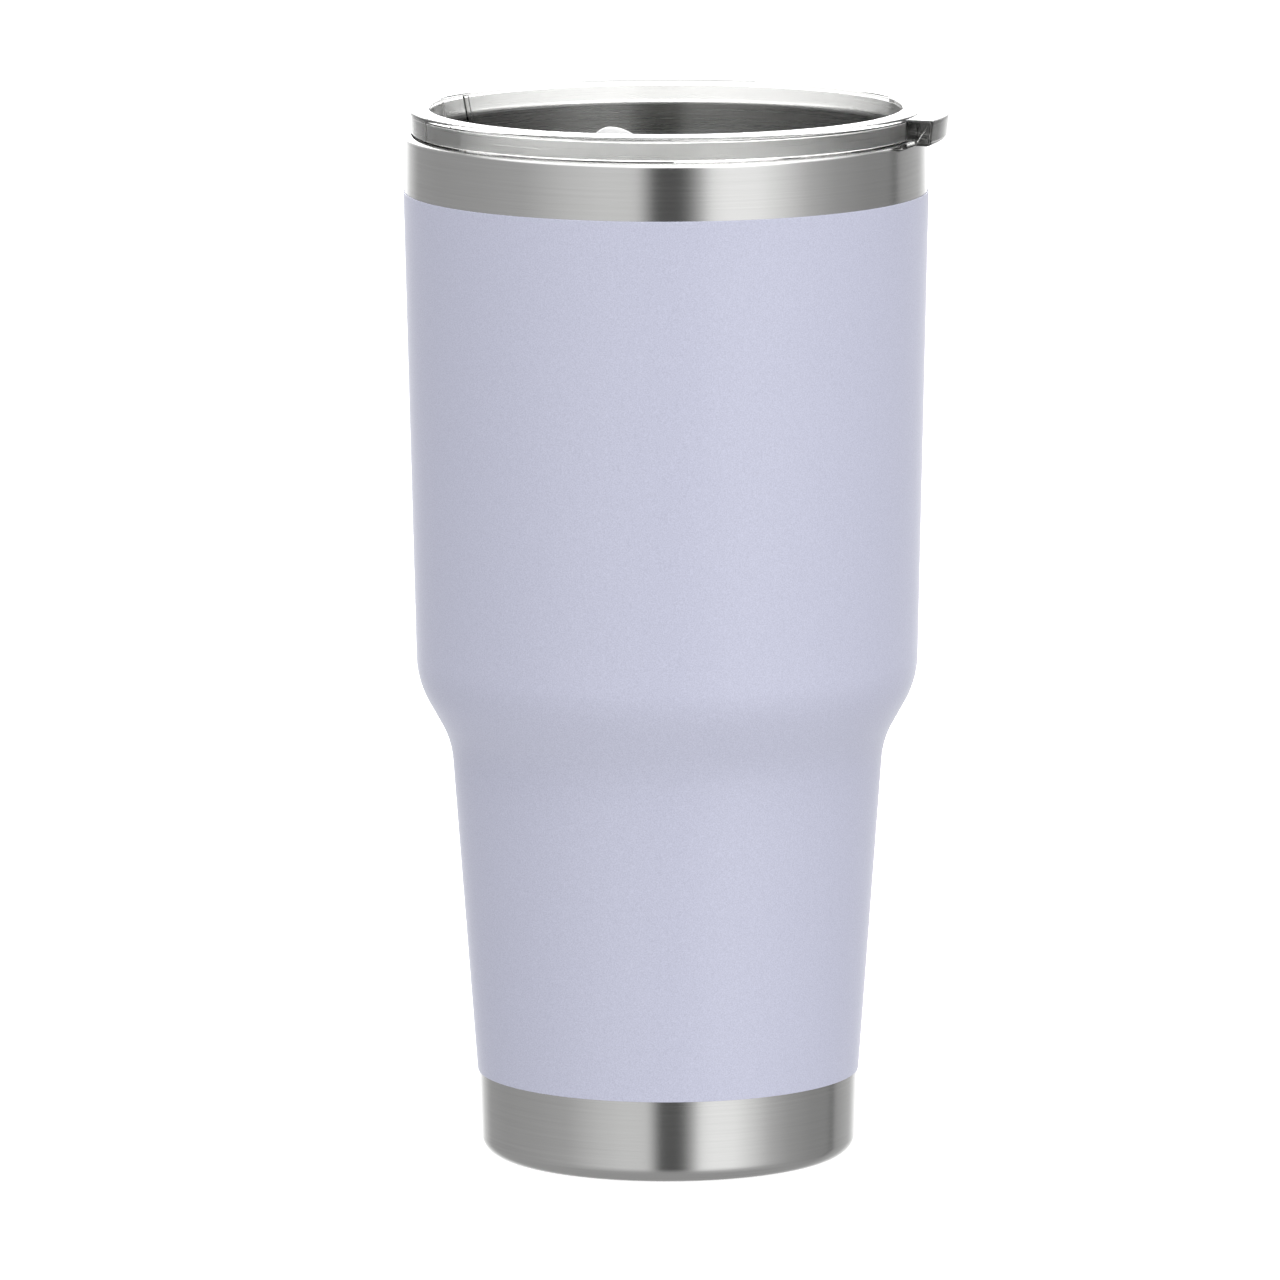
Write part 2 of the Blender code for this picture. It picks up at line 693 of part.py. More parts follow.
def make_frame(name, parent=None, height=0.0):
    """An empty on the cup's axis that carries the pieces of one moving body."""
    frame = bpy.data.objects.new(name, None)
    PARTS.objects.link(frame)
    frame.parent = parent
    frame.location.z = height
    return frame


clear_scene()
PARTS = new_collection("insulated_tumbler")
CUTTERS = new_collection("cutters")

make_outer_shell()
make_powder_coat()
make_inner_liner()
make_copper_foil()
make_outer_bottom()
make_port_seal()
make_getter()
make_getter_clip()
make_base_cover()

lid_frame = make_frame("lid_frame", height=MOUTH_Z)
make_lid_body(lid_frame)
make_lid_gasket(lid_frame)

slider_frame = make_frame("slider_frame", parent=lid_frame)
make_slider(slider_frame)
make_slider_seal(slider_frame)
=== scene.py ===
# %% [markdown]
# # An insulated tumbler with a clear lid
#
# The cup is two steel walls with a vacuum between them. A lavender powder coat covers
# the outer wall and leaves a band of bare brushed steel at the mouth and at the foot. A
# clear moulded lid plugs into the mouth, with a soft ring round its plug and a small
# slider over the drink opening.
#
# Most pieces are turned, so one small set of tools makes nearly all of the object: an
# outline with rounded corners, and a spin round the cup's axis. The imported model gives
# the places and the driving sizes, and each piece here stands where its plain model stood.

# %% Load the frame
import json
import math

import bmesh
import bpy
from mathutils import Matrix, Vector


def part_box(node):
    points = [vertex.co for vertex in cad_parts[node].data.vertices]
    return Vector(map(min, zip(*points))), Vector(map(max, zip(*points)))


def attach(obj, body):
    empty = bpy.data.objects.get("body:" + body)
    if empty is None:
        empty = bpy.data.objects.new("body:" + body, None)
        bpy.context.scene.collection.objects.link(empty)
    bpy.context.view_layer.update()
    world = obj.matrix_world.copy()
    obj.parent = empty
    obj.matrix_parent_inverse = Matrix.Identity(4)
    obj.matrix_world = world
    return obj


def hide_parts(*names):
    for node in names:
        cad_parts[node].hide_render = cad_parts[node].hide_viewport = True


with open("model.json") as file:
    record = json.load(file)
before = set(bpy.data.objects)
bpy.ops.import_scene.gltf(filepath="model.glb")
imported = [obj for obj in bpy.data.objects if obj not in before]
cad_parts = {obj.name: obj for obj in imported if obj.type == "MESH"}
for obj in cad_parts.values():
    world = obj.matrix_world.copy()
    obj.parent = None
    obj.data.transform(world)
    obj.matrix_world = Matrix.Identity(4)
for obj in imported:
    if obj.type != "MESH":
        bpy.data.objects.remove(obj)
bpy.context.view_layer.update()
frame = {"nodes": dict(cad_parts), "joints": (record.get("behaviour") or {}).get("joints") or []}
MM = 0.001
print("nodes:", sorted(frame["nodes"]))

# %% [markdown]
# ## One scale for the whole object
#
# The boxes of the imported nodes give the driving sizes. They are turned to millimetres
# here, because that is how a maker reads a cup, and go back to metres only when a mesh
# or a finish is made.

# %% Read the driving sizes
shell_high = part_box("outer_shell")[1]
coat_low, coat_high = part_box("powder_coat")
lid_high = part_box("lid_body")[1]
MOUTH_Z = shell_high.z / MM
STEEL_RADIUS = shell_high.x / MM
COAT_TOP_Z = coat_high.z / MM
COAT_BOTTOM_Z = coat_low.z / MM
LIP_REACH = lid_high.x / MM
print(f"mouth at {MOUTH_Z:.2f} mm, coat from {COAT_BOTTOM_Z:.2f} to {COAT_TOP_Z:.2f} mm")
print(f"steel radius {STEEL_RADIUS:.2f} mm, thumb lip reaches {LIP_REACH:.2f} mm")

# %% [markdown]
# ## Outlines with rounded corners
#
# A drawn, rolled or moulded edge is never sharp, and the small round is what catches the
# light. So an outline is a list of corners, each with its own radius, and the arcs are
# worked out from them. A large arc gets a facet every few degrees, a small one fewer.

# %% Rounded outlines
LARGE_ARC = 5.0
LARGE_FACET = math.radians(4.0)
SMALL_FACET = math.radians(15.0)


def rounded_outline(corners):
    """The (r, z) points through corners (r, z, radius), in millimetres, with arcs."""
    points = []
    for i, (r, z, radius) in enumerate(corners):
        if radius == 0.0:
            points.append((r, z))
            continue
        last, following = corners[i - 1], corners[(i + 1) % len(corners)]
        a = math.atan2(last[1] - z, last[0] - r)
        b = math.atan2(following[1] - z, following[0] - r)
        between = (b - a + math.pi) % (2 * math.pi) - math.pi
        half = abs(between) / 2
        middle = a + between / 2
        reach = radius / math.sin(half)
        centre = (r + reach * math.cos(middle), z + reach * math.sin(middle))
        turn = math.pi / 2 - half
        steps = max(2, math.ceil(2 * turn / (LARGE_FACET if radius > LARGE_ARC else SMALL_FACET)))
        for step in range(steps + 1):
            angle = middle + math.pi + math.copysign(turn, between) * (1 - 2 * step / steps)
            points.append((centre[0] + radius * math.cos(angle), centre[1] + radius * math.sin(angle)))
    return points


def offset_outline(points, distance):
    """The same open outline moved sideways, outwards where it runs down its outer side."""
    moved = []
    for i, (r, z) in enumerate(points):
        normals = []
        for start, end in ((points[max(i - 1, 0)], (r, z)), ((r, z), points[min(i + 1, len(points) - 1)])):
            length = math.hypot(end[0] - start[0], end[1] - start[1])
            if length > 0.0:
                normals.append((-(end[1] - start[1]) / length, (end[0] - start[0]) / length))
        n = (sum(x for x, _ in normals) / len(normals), sum(y for _, y in normals) / len(normals))
        share = distance / (n[0] ** 2 + n[1] ** 2)
        moved.append((max(r + n[0] * share, 0.0), z + n[1] * share))
    return moved


def wall(points, thickness):
    """A closed section of sheet metal behind an outline."""
    return points + offset_outline(points, -thickness)[::-1]


# %% [markdown]
# ## Turning a piece
#
# `bmesh.ops.spin` sweeps the outline's edges round the axis, as a lathe would. With
# `use_merge` the last step is welded to the first. Points on the axis fall together, so
# doubles are merged, and only then are the normals turned outwards. The flats of a turned
# piece are so fine that smooth shading hides them, and edges sharper than 35 degrees
# stay crisp. A weighted normal keeps a long straight wall from shading like a bent one.

# %% Turned pieces
TURN_STEPS = 192
CRISP = math.radians(35.0)
WELD = 0.000001


def turned(points, closed=False, steps=TURN_STEPS, first_angle=0.0, angle=2 * math.pi):
    """A bmesh swept round Z from an outline in millimetres."""
    bm = bmesh.new()
    towards = (math.cos(first_angle), math.sin(first_angle))
    verts = [bm.verts.new((r * MM * towards[0], r * MM * towards[1], z * MM)) for r, z in points]
    for start, end in zip(verts, verts[1:] + (verts[:1] if closed else [])):
        bm.edges.new((start, end))
    full = angle == 2 * math.pi
    geom = [*bm.verts, *bm.edges]
    if not full:
        geom.append(bm.faces.new(verts))
    bmesh.ops.spin(
        bm, geom=geom, cent=(0, 0, 0), axis=(0, 0, 1), angle=angle, steps=steps, use_merge=full
    )
    bmesh.ops.remove_doubles(bm, verts=bm.verts, dist=WELD)
    bmesh.ops.recalc_face_normals(bm, faces=bm.faces)
    return bm


def piece(name, bm, body, slot, finish, *stands_for):
    """Makes a finished bmesh a piece of the object that rides on a body."""
    mesh = bpy.data.meshes.new(name)
    bm.to_mesh(mesh)
    bm.free()
    mesh.shade_smooth()
    mesh.set_sharp_from_angle(angle=CRISP)
    mesh.materials.append(finish)
    obj = bpy.data.objects.new(name, mesh)
    bpy.context.scene.collection.objects.link(obj)
    weighted = obj.modifiers.new("even_shading", "WEIGHTED_NORMAL")
    weighted.keep_sharp = True
    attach(obj, body)
    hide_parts(*stands_for)
    print(f"{name}: {len(mesh.polygons)} faces, {max(v.co.z for v in mesh.vertices) / MM:.2f} mm high")
    return obj


# %% [markdown]
# ## Tools for finishes
#
# A finish is a Principled shader with a few nodes before it. One function adds a node,
# sets it and links it. Colours are written as sRGB hex, as on a paint card, and one
# function turns them to the linear values that the shader works in.

# %% Finish tools
def linear(hex_colour):
    """A linear colour from an sRGB hex value."""
    channels = [int(hex_colour[i : i + 2], 16) / 255 for i in (1, 3, 5)]
    return (*[c / 12.92 if c <= 0.04045 else ((c + 0.055) / 1.055) ** 2.4 for c in channels], 1.0)


def add_node(tree, kind, inputs=None, **settings):
    """Adds a node, sets its properties, and fills or links its inputs."""
    node = tree.nodes.new(kind)
    for name, value in settings.items():
        setattr(node, name, value)
    for name, value in (inputs or {}).items():
        if isinstance(value, bpy.types.NodeSocket):
            tree.links.new(value, node.inputs[name])
        else:
            node.inputs[name].default_value = value
    return node


def new_finish(name, hex_colour, values):
    """A material with a Principled shader of these values. Gives it, its nodes and its shader."""
    material = bpy.data.materials.new(name)
    material.use_nodes = True
    tree = material.node_tree
    shader = tree.nodes["Principled BSDF"]
    shader.inputs["Base Color"].default_value = linear(hex_colour)
    for socket, value in values.items():
        shader.inputs[socket].default_value = value
    return material, tree, shader


# %% [markdown]
# ## Brushed stainless steel
#
# The cup is drawn from 18/8 stainless steel sheet. While it turns on a lathe, an abrasive
# belt is held against it, so the scratches run round the cup. Such scratches smear a
# reflection across themselves, upright on a wall, and keep its left and right sides
# crisp. The eye sees tall streaks of light and dark, and fine lines round the cup.
#
# Anisotropy does the smear. Its tangent runs round Z and is turned by a quarter, because
# the smear lies across the scratches. The scratches are noise that is drawn out round the
# cup: it changes quickly along height plus radius, so it gives level lines on a wall and
# rings on a flat.

# %% Brushed steel
SCRATCH_SPACING = 0.3 * MM  # real scratches are ten times finer, too fine to show
SCRATCH_LENGTH = 40.0 * MM
LINE_CONTRAST = 0.035  # how much one line is lighter or darker than the next
LINE_SPREAD = 0.1  # how much one line is duller or shinier than the next
QUARTER_TURN = 0.25
NOISE_LOW, NOISE_HIGH = 0.3, 0.7  # nearly all of a noise lies between these


def round_the_axis(tree):
    """The place on the piece, as its X, Y and Z sockets and the socket of its distance from Z."""
    place = add_node(tree, "ShaderNodeTexCoord").outputs["Object"]
    axes = add_node(tree, "ShaderNodeSeparateXYZ", {0: place})
    flat = add_node(tree, "ShaderNodeCombineXYZ", {0: axes.outputs[0], 1: axes.outputs[1]})
    radius = add_node(tree, "ShaderNodeVectorMath", {0: flat.outputs[0]}, operation="LENGTH")
    return *axes.outputs, radius.outputs["Value"]


def brush_lines(tree):
    """Noise in lines round Z. Gives its height socket."""
    x, y, z, radius = round_the_axis(tree)
    along = add_node(tree, "ShaderNodeMath", {0: z, 1: radius}, operation="ADD").outputs[0]
    stretch = SCRATCH_LENGTH / SCRATCH_SPACING
    across = add_node(tree, "ShaderNodeMath", {0: along, 1: stretch}, operation="MULTIPLY").outputs[0]
    drawn_out = add_node(tree, "ShaderNodeCombineXYZ", {0: x, 1: y, 2: across})
    lines = add_node(
        tree,
        "ShaderNodeTexNoise",
        {"Vector": drawn_out.outputs[0], "Scale": 1.0 / SCRATCH_LENGTH, "Detail": 3.0, "Roughness": 0.7},
    )
    return lines.outputs["Fac"]


def spread_over(tree, noise, low, high):
    """Stretches a noise to run from one value to another. Gives its socket."""
    values = {"Value": noise, "From Min": NOISE_LOW, "From Max": NOISE_HIGH, "To Min": low, "To Max": high}
    return add_node(tree, "ShaderNodeMapRange", values).outputs[0]


def brushed_steel(name, hex_colour, roughness, smear, depth):
    material, tree, shader = new_finish(
        name, hex_colour, {"Metallic": 1.0, "Anisotropic": smear, "Anisotropic Rotation": QUARTER_TURN}
    )
    lines = brush_lines(tree)
    dull, shiny = 1.0 + LINE_SPREAD, 1.0 - LINE_SPREAD
    spread = spread_over(tree, lines, roughness * shiny, roughness * dull)
    tone = spread_over(tree, lines, 1.0 - LINE_CONTRAST, 1.0 + LINE_CONTRAST)
    tint = add_node(tree, "ShaderNodeHueSaturation", {"Color": linear(hex_colour), "Value": tone})
    bump = add_node(tree, "ShaderNodeBump", {"Height": lines, "Strength": 1.0, "Distance": depth})
    around = add_node(tree, "ShaderNodeTangent", direction_type="RADIAL", axis="Z")
    tree.links.new(tint.outputs[0], shader.inputs["Base Color"])
    tree.links.new(spread, shader.inputs["Roughness"])
    tree.links.new(bump.outputs[0], shader.inputs["Normal"])
    tree.links.new(around.outputs[0], shader.inputs["Tangent"])
    return material


BRUSHED_STEEL = brushed_steel("brushed_stainless_steel", "#CBCBCA", 0.2, 0.85, 0.012 * MM)
LINER_STEEL = brushed_steel("liner_stainless_steel", "#D2D2D1", 0.28, 0.75, 0.004 * MM)
print("finishes:", BRUSHED_STEEL.name, LINER_STEEL.name)

# %% [markdown]
# ## Powder coat
#
# The colour is a polyester powder that is sprayed on dry and baked. It melts and flows
# but never quite levels, so a close look shows a fine pebble, called orange peel. It is
# satin: a broad soft sheen, and no mirror.

# %% Lavender powder coat
PEEL_SIZE = 0.55 * MM  # one pebble of the orange peel
PEEL_DEPTH = 0.02 * MM
GRAIN_SIZE = 0.22 * MM  # powder grains that show in the colour


def powder_coat():
    material, tree, shader = new_finish(
        "lavender_powder_coat",
        "#CBCDDE",
        {"Roughness": 0.4, "IOR": 1.5, "Sheen Weight": 0.3, "Sheen Roughness": 0.25},
    )
    place = add_node(tree, "ShaderNodeTexCoord").outputs["Object"]
    peel = add_node(
        tree, "ShaderNodeTexNoise", {"Vector": place, "Scale": 1.0 / PEEL_SIZE, "Detail": 2.0}
    )
    grain = add_node(
        tree, "ShaderNodeTexNoise", {"Vector": place, "Scale": 1.0 / GRAIN_SIZE, "Detail": 1.0}
    )
    tint = add_node(tree, "ShaderNodeValToRGB", {0: grain.outputs["Fac"]})
    tint.color_ramp.elements[0].position = NOISE_LOW
    tint.color_ramp.elements[0].color = linear("#B9BBCF")
    tint.color_ramp.elements[1].position = NOISE_HIGH
    tint.color_ramp.elements[1].color = linear("#CBCDE0")
    bump = add_node(tree, "ShaderNodeBump", {"Height": peel.outputs["Fac"], "Distance": PEEL_DEPTH})
    tree.links.new(tint.outputs[0], shader.inputs["Base Color"])
    tree.links.new(bump.outputs[0], shader.inputs["Normal"])
    return material


POWDER_COAT = powder_coat()
print("finish:", POWDER_COAT.name)

# %% [markdown]
# ## Clear and milky plastics
#
# The lid is a clear copolyester, moulded in a polished steel tool: very smooth, with a
# high index, so its edges bend what lies behind them into dark and bright lines. Thick
# places take up some light and look grey, such as the thumb lip. Nobody polishes the deep
# hollow of the collar in the tool, so its sides are satin and show streaks in place of
# what lies behind. The slider is milky, of the same kind of plastic. The ring and the
# pad are soft translucent silicone.

# %% Plastics and silicone
HAZE = 150.0  # per metre: thick parts of a clear moulding look grey, thin walls stay clear
COPOLYESTER_IOR = 1.57
SILICONE_IOR = 1.41
POLISH = 0.02
SATIN = (0.2, 0.5)
HOLLOW_RADII = (47.3, 48.8)  # both sides of the collar's hollow lie between these
HOLLOW_HEIGHTS = (0.1, 3.9)  # above the mouth, under the ceiling of the hollow
FLOW_SIZE = 9.0 * MM  # slow waves that the melt leaves as it fills the mould
FLOW_DEPTH = 0.01 * MM


def within(tree, value, limits):
    """One where a value lies between two limits in millimetres, and zero elsewhere."""
    low, high = limits
    sockets = {0: value, 1: (low + high) / 2 * MM, 2: (high - low) / 2 * MM}
    return add_node(tree, "ShaderNodeMath", sockets, operation="COMPARE").outputs[0]


def collar_hollow(tree):
    """Polished, but satin with turning marks on both sides of the collar's hollow."""
    *_, z, radius = round_the_axis(tree)
    in_ring = within(tree, radius, HOLLOW_RADII)
    at_height = within(tree, z, [MOUTH_Z + height for height in HOLLOW_HEIGHTS])
    inside = add_node(tree, "ShaderNodeMath", {0: in_ring, 1: at_height}, operation="MULTIPLY").outputs[0]
    satin = spread_over(tree, brush_lines(tree), *SATIN)
    mix = {0: inside, 2: POLISH, 3: satin}
    return add_node(tree, "ShaderNodeMix", mix, data_type="FLOAT").outputs[0]


def clear_plastic():
    material, tree, shader = new_finish(
        "clear_copolyester",
        "#F9F9F8",
        {"Roughness": POLISH, "IOR": COPOLYESTER_IOR, "Transmission Weight": 1.0},
    )
    place = add_node(tree, "ShaderNodeTexCoord").outputs["Object"]
    flow = add_node(tree, "ShaderNodeTexNoise", {"Vector": place, "Scale": 1.0 / FLOW_SIZE})
    bump = add_node(tree, "ShaderNodeBump", {"Height": flow.outputs["Fac"], "Distance": FLOW_DEPTH})
    tree.links.new(bump.outputs[0], shader.inputs["Normal"])
    tree.links.new(collar_hollow(tree), shader.inputs["Roughness"])
    body = add_node(tree, "ShaderNodeVolumeAbsorption", {"Color": linear("#B6B6B5"), "Density": HAZE})
    tree.links.new(body.outputs[0], tree.nodes["Material Output"].inputs["Volume"])
    return material


def soft_plastic(name, hex_colour, roughness, ior, clearness, texture_size, depth):
    material, tree, shader = new_finish(
        name, hex_colour, {"Roughness": roughness, "IOR": ior, "Transmission Weight": clearness}
    )
    place = add_node(tree, "ShaderNodeTexCoord").outputs["Object"]
    tooling = add_node(tree, "ShaderNodeTexNoise", {"Vector": place, "Scale": 1.0 / texture_size})
    bump = add_node(tree, "ShaderNodeBump", {"Height": tooling.outputs["Fac"], "Distance": depth})
    tree.links.new(bump.outputs[0], shader.inputs["Normal"])
    return material


CLEAR_PLASTIC = clear_plastic()
FROSTED_PLASTIC = soft_plastic(
    "frosted_copolyester", "#F6F6F6", 0.3, COPOLYESTER_IOR, 0.55, 0.5 * MM, 0.01 * MM
)
SILICONE = soft_plastic("translucent_silicone", "#E4E6E7", 0.5, SILICONE_IOR, 0.45, 0.35 * MM, 0.012 * MM)
print("finishes:", CLEAR_PLASTIC.name, FROSTED_PLASTIC.name, SILICONE.name)

# %% [markdown]
# ## The outer wall
#
# The wall is one drawn sheet: a rolled lip at the mouth, a slow taper, a shoulder, a
# second taper that fits a car's cup holder, and a rounded foot that turns under. The lip
# has a small round of its own, because a drinker's mouth meets it.

# %% Outer wall
SHELL_WALL = 0.6
MOUTH_RADIUS = 50.75
LINER_MOUTH_RADIUS = 49.5
LIP_ROUND = 1.14
SHOULDER_TOP = (48.7, 93.9)
SHOULDER_BOTTOM = (42.05, 82.0)
SHOULDER_ROUND = 18.0
LOWER_RADIUS = 37.2
FOOT_RADIUS = 36.7
FOOT_ROUND = 3.3
FOOT_OPENING_RADIUS = 32.0
SEAM = 0.1  # between the two walls where they meet at the mouth

shell_side = [
    (*SHOULDER_TOP, SHOULDER_ROUND),
    (*SHOULDER_BOTTOM, SHOULDER_ROUND),
]
shell_outline = rounded_outline(
    [
        (LINER_MOUTH_RADIUS + SEAM, MOUTH_Z, 0.0),
        (MOUTH_RADIUS, MOUTH_Z, LIP_ROUND),
        (STEEL_RADIUS, COAT_TOP_Z, 0.0),
        *shell_side,
        (LOWER_RADIUS, COAT_BOTTOM_Z, 0.0),
        (FOOT_RADIUS, 0.0, FOOT_ROUND),
        (FOOT_OPENING_RADIUS, 0.0, 0.0),
    ]
)
piece(
    "outer_wall",
    turned(wall(shell_outline, SHELL_WALL), closed=True),
    "cup",
    "brushed_steel",
    BRUSHED_STEEL,
    "outer_shell",
)

# %% [markdown]
# ## The coat
#
# The powder lies on the wall as a skin of a fifth of a millimetre. Where the masking
# was taken off before baking, its edge draws back into a small round, which shows as a
# thin shadow line against the bare steel.

# %% Coat
COAT_GAP = 0.05
COAT_THICKNESS = 0.2
COAT_EDGE = 0.08

steel_side = rounded_outline(
    [(STEEL_RADIUS, COAT_TOP_Z, 0.0), *shell_side, (LOWER_RADIUS, COAT_BOTTOM_Z, 0.0)]
)
coat_outside = offset_outline(steel_side, COAT_GAP + COAT_THICKNESS)
coat_inside = offset_outline(steel_side, COAT_GAP)
coat_section = [(r, z, 0.0) for r, z in coat_outside + coat_inside[::-1]]
last_outside = len(coat_outside) - 1
for corner in (0, last_outside):
    coat_section[corner] = (*coat_section[corner][:2], COAT_EDGE)
piece(
    "coat",
    turned(rounded_outline(coat_section), closed=True),
    "cup",
    "powder_coat",
    POWDER_COAT,
    "powder_coat",
)

# %% [markdown]
# ## The liner
#
# The inner wall is drawn too. Its straight mouth takes the lid's ring and ends in a small
# step below the plug. The bottom is one with the side, through a wide round that is easy
# to wash.

# %% Liner
LINER_WALL = 0.6
LINER_STEP_TOP_Z = 187.8
LINER_STEP_BOTTOM = (47.0, 183.6)
LINER_STEP_ROUND = 2.5
LINER_SHOULDER_TOP = (44.7, 93.1)
LINER_SHOULDER_BOTTOM = (38.1, 81.1)
LINER_FOOT_RADIUS = 32.9
LINER_BOTTOM_Z = 11.4
LINER_FOOT_ROUND = 7.0

liner_outline = rounded_outline(
    [
        (LINER_MOUTH_RADIUS, MOUTH_Z, 0.0),
        (LINER_MOUTH_RADIUS, LINER_STEP_TOP_Z, LINER_STEP_ROUND),
        (*LINER_STEP_BOTTOM, LINER_STEP_ROUND),
        (*LINER_SHOULDER_TOP, SHOULDER_ROUND),
        (*LINER_SHOULDER_BOTTOM, SHOULDER_ROUND),
        (LINER_FOOT_RADIUS, LINER_BOTTOM_Z, LINER_FOOT_ROUND),
        (0.0, LINER_BOTTOM_Z, 0.0),
    ]
)
piece(
    "liner",
    turned(wall(liner_outline, LINER_WALL)),
    "cup",
    "liner_steel",
    LINER_STEEL,
    "inner_liner",
)

# %% [markdown]
# ## The base cover
#
# The evacuation port is sealed with a bead and hidden by a flat pressed cover. One ring
# is pressed in the cover, which stiffens it and keeps it from ticking on a hard table.

# %% Base cover
COVER_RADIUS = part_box("base_cover")[1].x / MM
COVER_SKIRT = 2.4
COVER_THICKNESS = 0.7
COVER_EDGE = 0.6
GROOVE_RADIUS = 25.5
GROOVE_HALF = 1.2
GROOVE_RISE = 0.5
GROOVE_ROUND = 0.4

cover_outline = rounded_outline(
    [
        (COVER_RADIUS, COVER_SKIRT, 0.0),
        (COVER_RADIUS, 0.0, COVER_EDGE),
        (GROOVE_RADIUS + GROOVE_HALF, 0.0, GROOVE_ROUND),
        (GROOVE_RADIUS + GROOVE_HALF - GROOVE_RISE, GROOVE_RISE, GROOVE_ROUND),
        (GROOVE_RADIUS - GROOVE_HALF + GROOVE_RISE, GROOVE_RISE, GROOVE_ROUND),
        (GROOVE_RADIUS - GROOVE_HALF, 0.0, GROOVE_ROUND),
        (0.0, 0.0, 0.0),
    ]
)
piece(
    "pressed_base",
    turned(wall(cover_outline, COVER_THICKNESS)),
    "cup",
    "brushed_steel",
    BRUSHED_STEEL,
    "base_cover",
)

# %% [markdown]
# ## The lid
#
# The lid is one clear moulding. A hollow collar with two webs rests on the mouth, and
# its plug goes down inside it with a seat for the soft ring. The floor lies low, so spilt
# drink runs back through the opening. The section is turned, and what isn't round is
# joined to it or cut from it with Boolean modifiers, because they keep a closed solid,
# which a clear material needs. They are applied at once and the cutters are removed.

# %% Lid section
CREST_RADIUS = 46.3
CREST_Z = lid_high.z / MM - MOUTH_Z
CREST_FALL = 0.3
COLLAR_RADIUS = 49.75
COLLAR_FOOT_RADIUS = 49.5
COLLAR_SHOULDER_Z = 5.0
COLLAR_BOTTOM_Z = 0.3
CHANNEL_RADIUS = 48.6
CHANNEL_TOP_Z = 4.0
PLUG_RADIUS = 47.4
RECESS_TOP_RADIUS = 46.0
RECESS_FLOOR_RADIUS = 43.3
FLOOR_TOP_Z = -8.0
FLOOR_THICKNESS = 2.0
SEAT_RADIUS = 46.0
SEAT_TOP_Z = -6.4
SEAT_BOTTOM_Z = -10.4
FLANGE_RADIUS = 47.5
PLUG_BOTTOM_Z = -12.2
PLUG_BORE_RADIUS = 44.2
EASE = 0.2  # the round that polishing leaves on a moulded edge

lid_corners = [
    (0.0, FLOOR_TOP_Z, 0.0),
    (RECESS_FLOOR_RADIUS, FLOOR_TOP_Z, 1.0),
    (RECESS_TOP_RADIUS, CREST_Z - CREST_FALL, 0.1),
    (CREST_RADIUS, CREST_Z, 0.1),
    (COLLAR_RADIUS, COLLAR_SHOULDER_Z, 0.8),
    (COLLAR_FOOT_RADIUS, COLLAR_BOTTOM_Z, 0.4),
    (CHANNEL_RADIUS, COLLAR_BOTTOM_Z, EASE),
    (CHANNEL_RADIUS, CHANNEL_TOP_Z, EASE),
    (PLUG_RADIUS, CHANNEL_TOP_Z, EASE),
    (PLUG_RADIUS, SEAT_TOP_Z, EASE),
    (SEAT_RADIUS, SEAT_TOP_Z, EASE),
    (SEAT_RADIUS, SEAT_BOTTOM_Z, EASE),
    (FLANGE_RADIUS, SEAT_BOTTOM_Z, EASE),
    (FLANGE_RADIUS, PLUG_BOTTOM_Z, 0.8),
    (PLUG_BORE_RADIUS, PLUG_BOTTOM_Z, EASE),
    (PLUG_BORE_RADIUS, FLOOR_TOP_Z - FLOOR_THICKNESS, 0.5),
    (0.0, FLOOR_TOP_Z - FLOOR_THICKNESS, 0.0),
]
lid_outline = [(r, MOUTH_Z + z) for r, z in rounded_outline(lid_corners)]
lid_solid = turned(lid_outline)
print(f"lid section: {len(lid_outline)} points, crest {CREST_Z:.2f} mm above the mouth")

# %% [markdown]
# ## Blocks, and joining solids
#
# The webs, the openings, and the slider's plate, leg and pad are boxes, some with rounded
# upright edges. A unit cube is scaled, moved and bevelled. Solids that don't touch each
# other share one helper object, so a single Boolean joins or cuts them all.

# %% Blocks and Booleans
RIM_ANGLE = math.radians(60.0)  # a rim that is eased is sharper than this


def block(bm, low, high, corner=0.0, edge=0.0):
    """Adds a box between two corners, in millimetres above the mouth, to a bmesh."""
    made = bmesh.ops.create_cube(bm, size=1.0)["verts"]
    size = [(h - l) * MM for l, h in zip(low, high)]
    centre = [(l + h) / 2 * MM for l, h in zip(low, high)]
    bmesh.ops.scale(bm, vec=size, verts=made)
    bmesh.ops.translate(bm, vec=(centre[0], centre[1], centre[2] + MOUTH_Z * MM), verts=made)
    if corner:
        edges = {e for v in made for e in v.link_edges}
        upright = [e for e in edges if abs(e.verts[0].co.z - e.verts[1].co.z) > size[2] / 2]
        faces = bmesh.ops.bevel(
            bm,
            geom=upright,
            offset=corner * MM,
            segments=8,
            profile=0.5,
            affect="EDGES",
            material=-1,
        )["faces"]
        made = list({v for f in faces for v in f.verts})
    if edge:
        level = {e for v in made for e in v.link_edges if len(e.link_faces) == 2}
        rim = [e for e in level if e.calc_face_angle(0.0) > RIM_ANGLE]
        bmesh.ops.bevel(
            bm, geom=rim, offset=edge * MM, segments=3, profile=0.5, affect="EDGES", material=-1
        )
    return made


def helper(name, bm):
    """A solid that only joins or cuts others."""
    bmesh.ops.recalc_face_normals(bm, faces=bm.faces)
    mesh = bpy.data.meshes.new(name)
    bm.to_mesh(mesh)
    bm.free()
    obj = bpy.data.objects.new(name, mesh)
    bpy.context.scene.collection.objects.link(obj)
    return obj


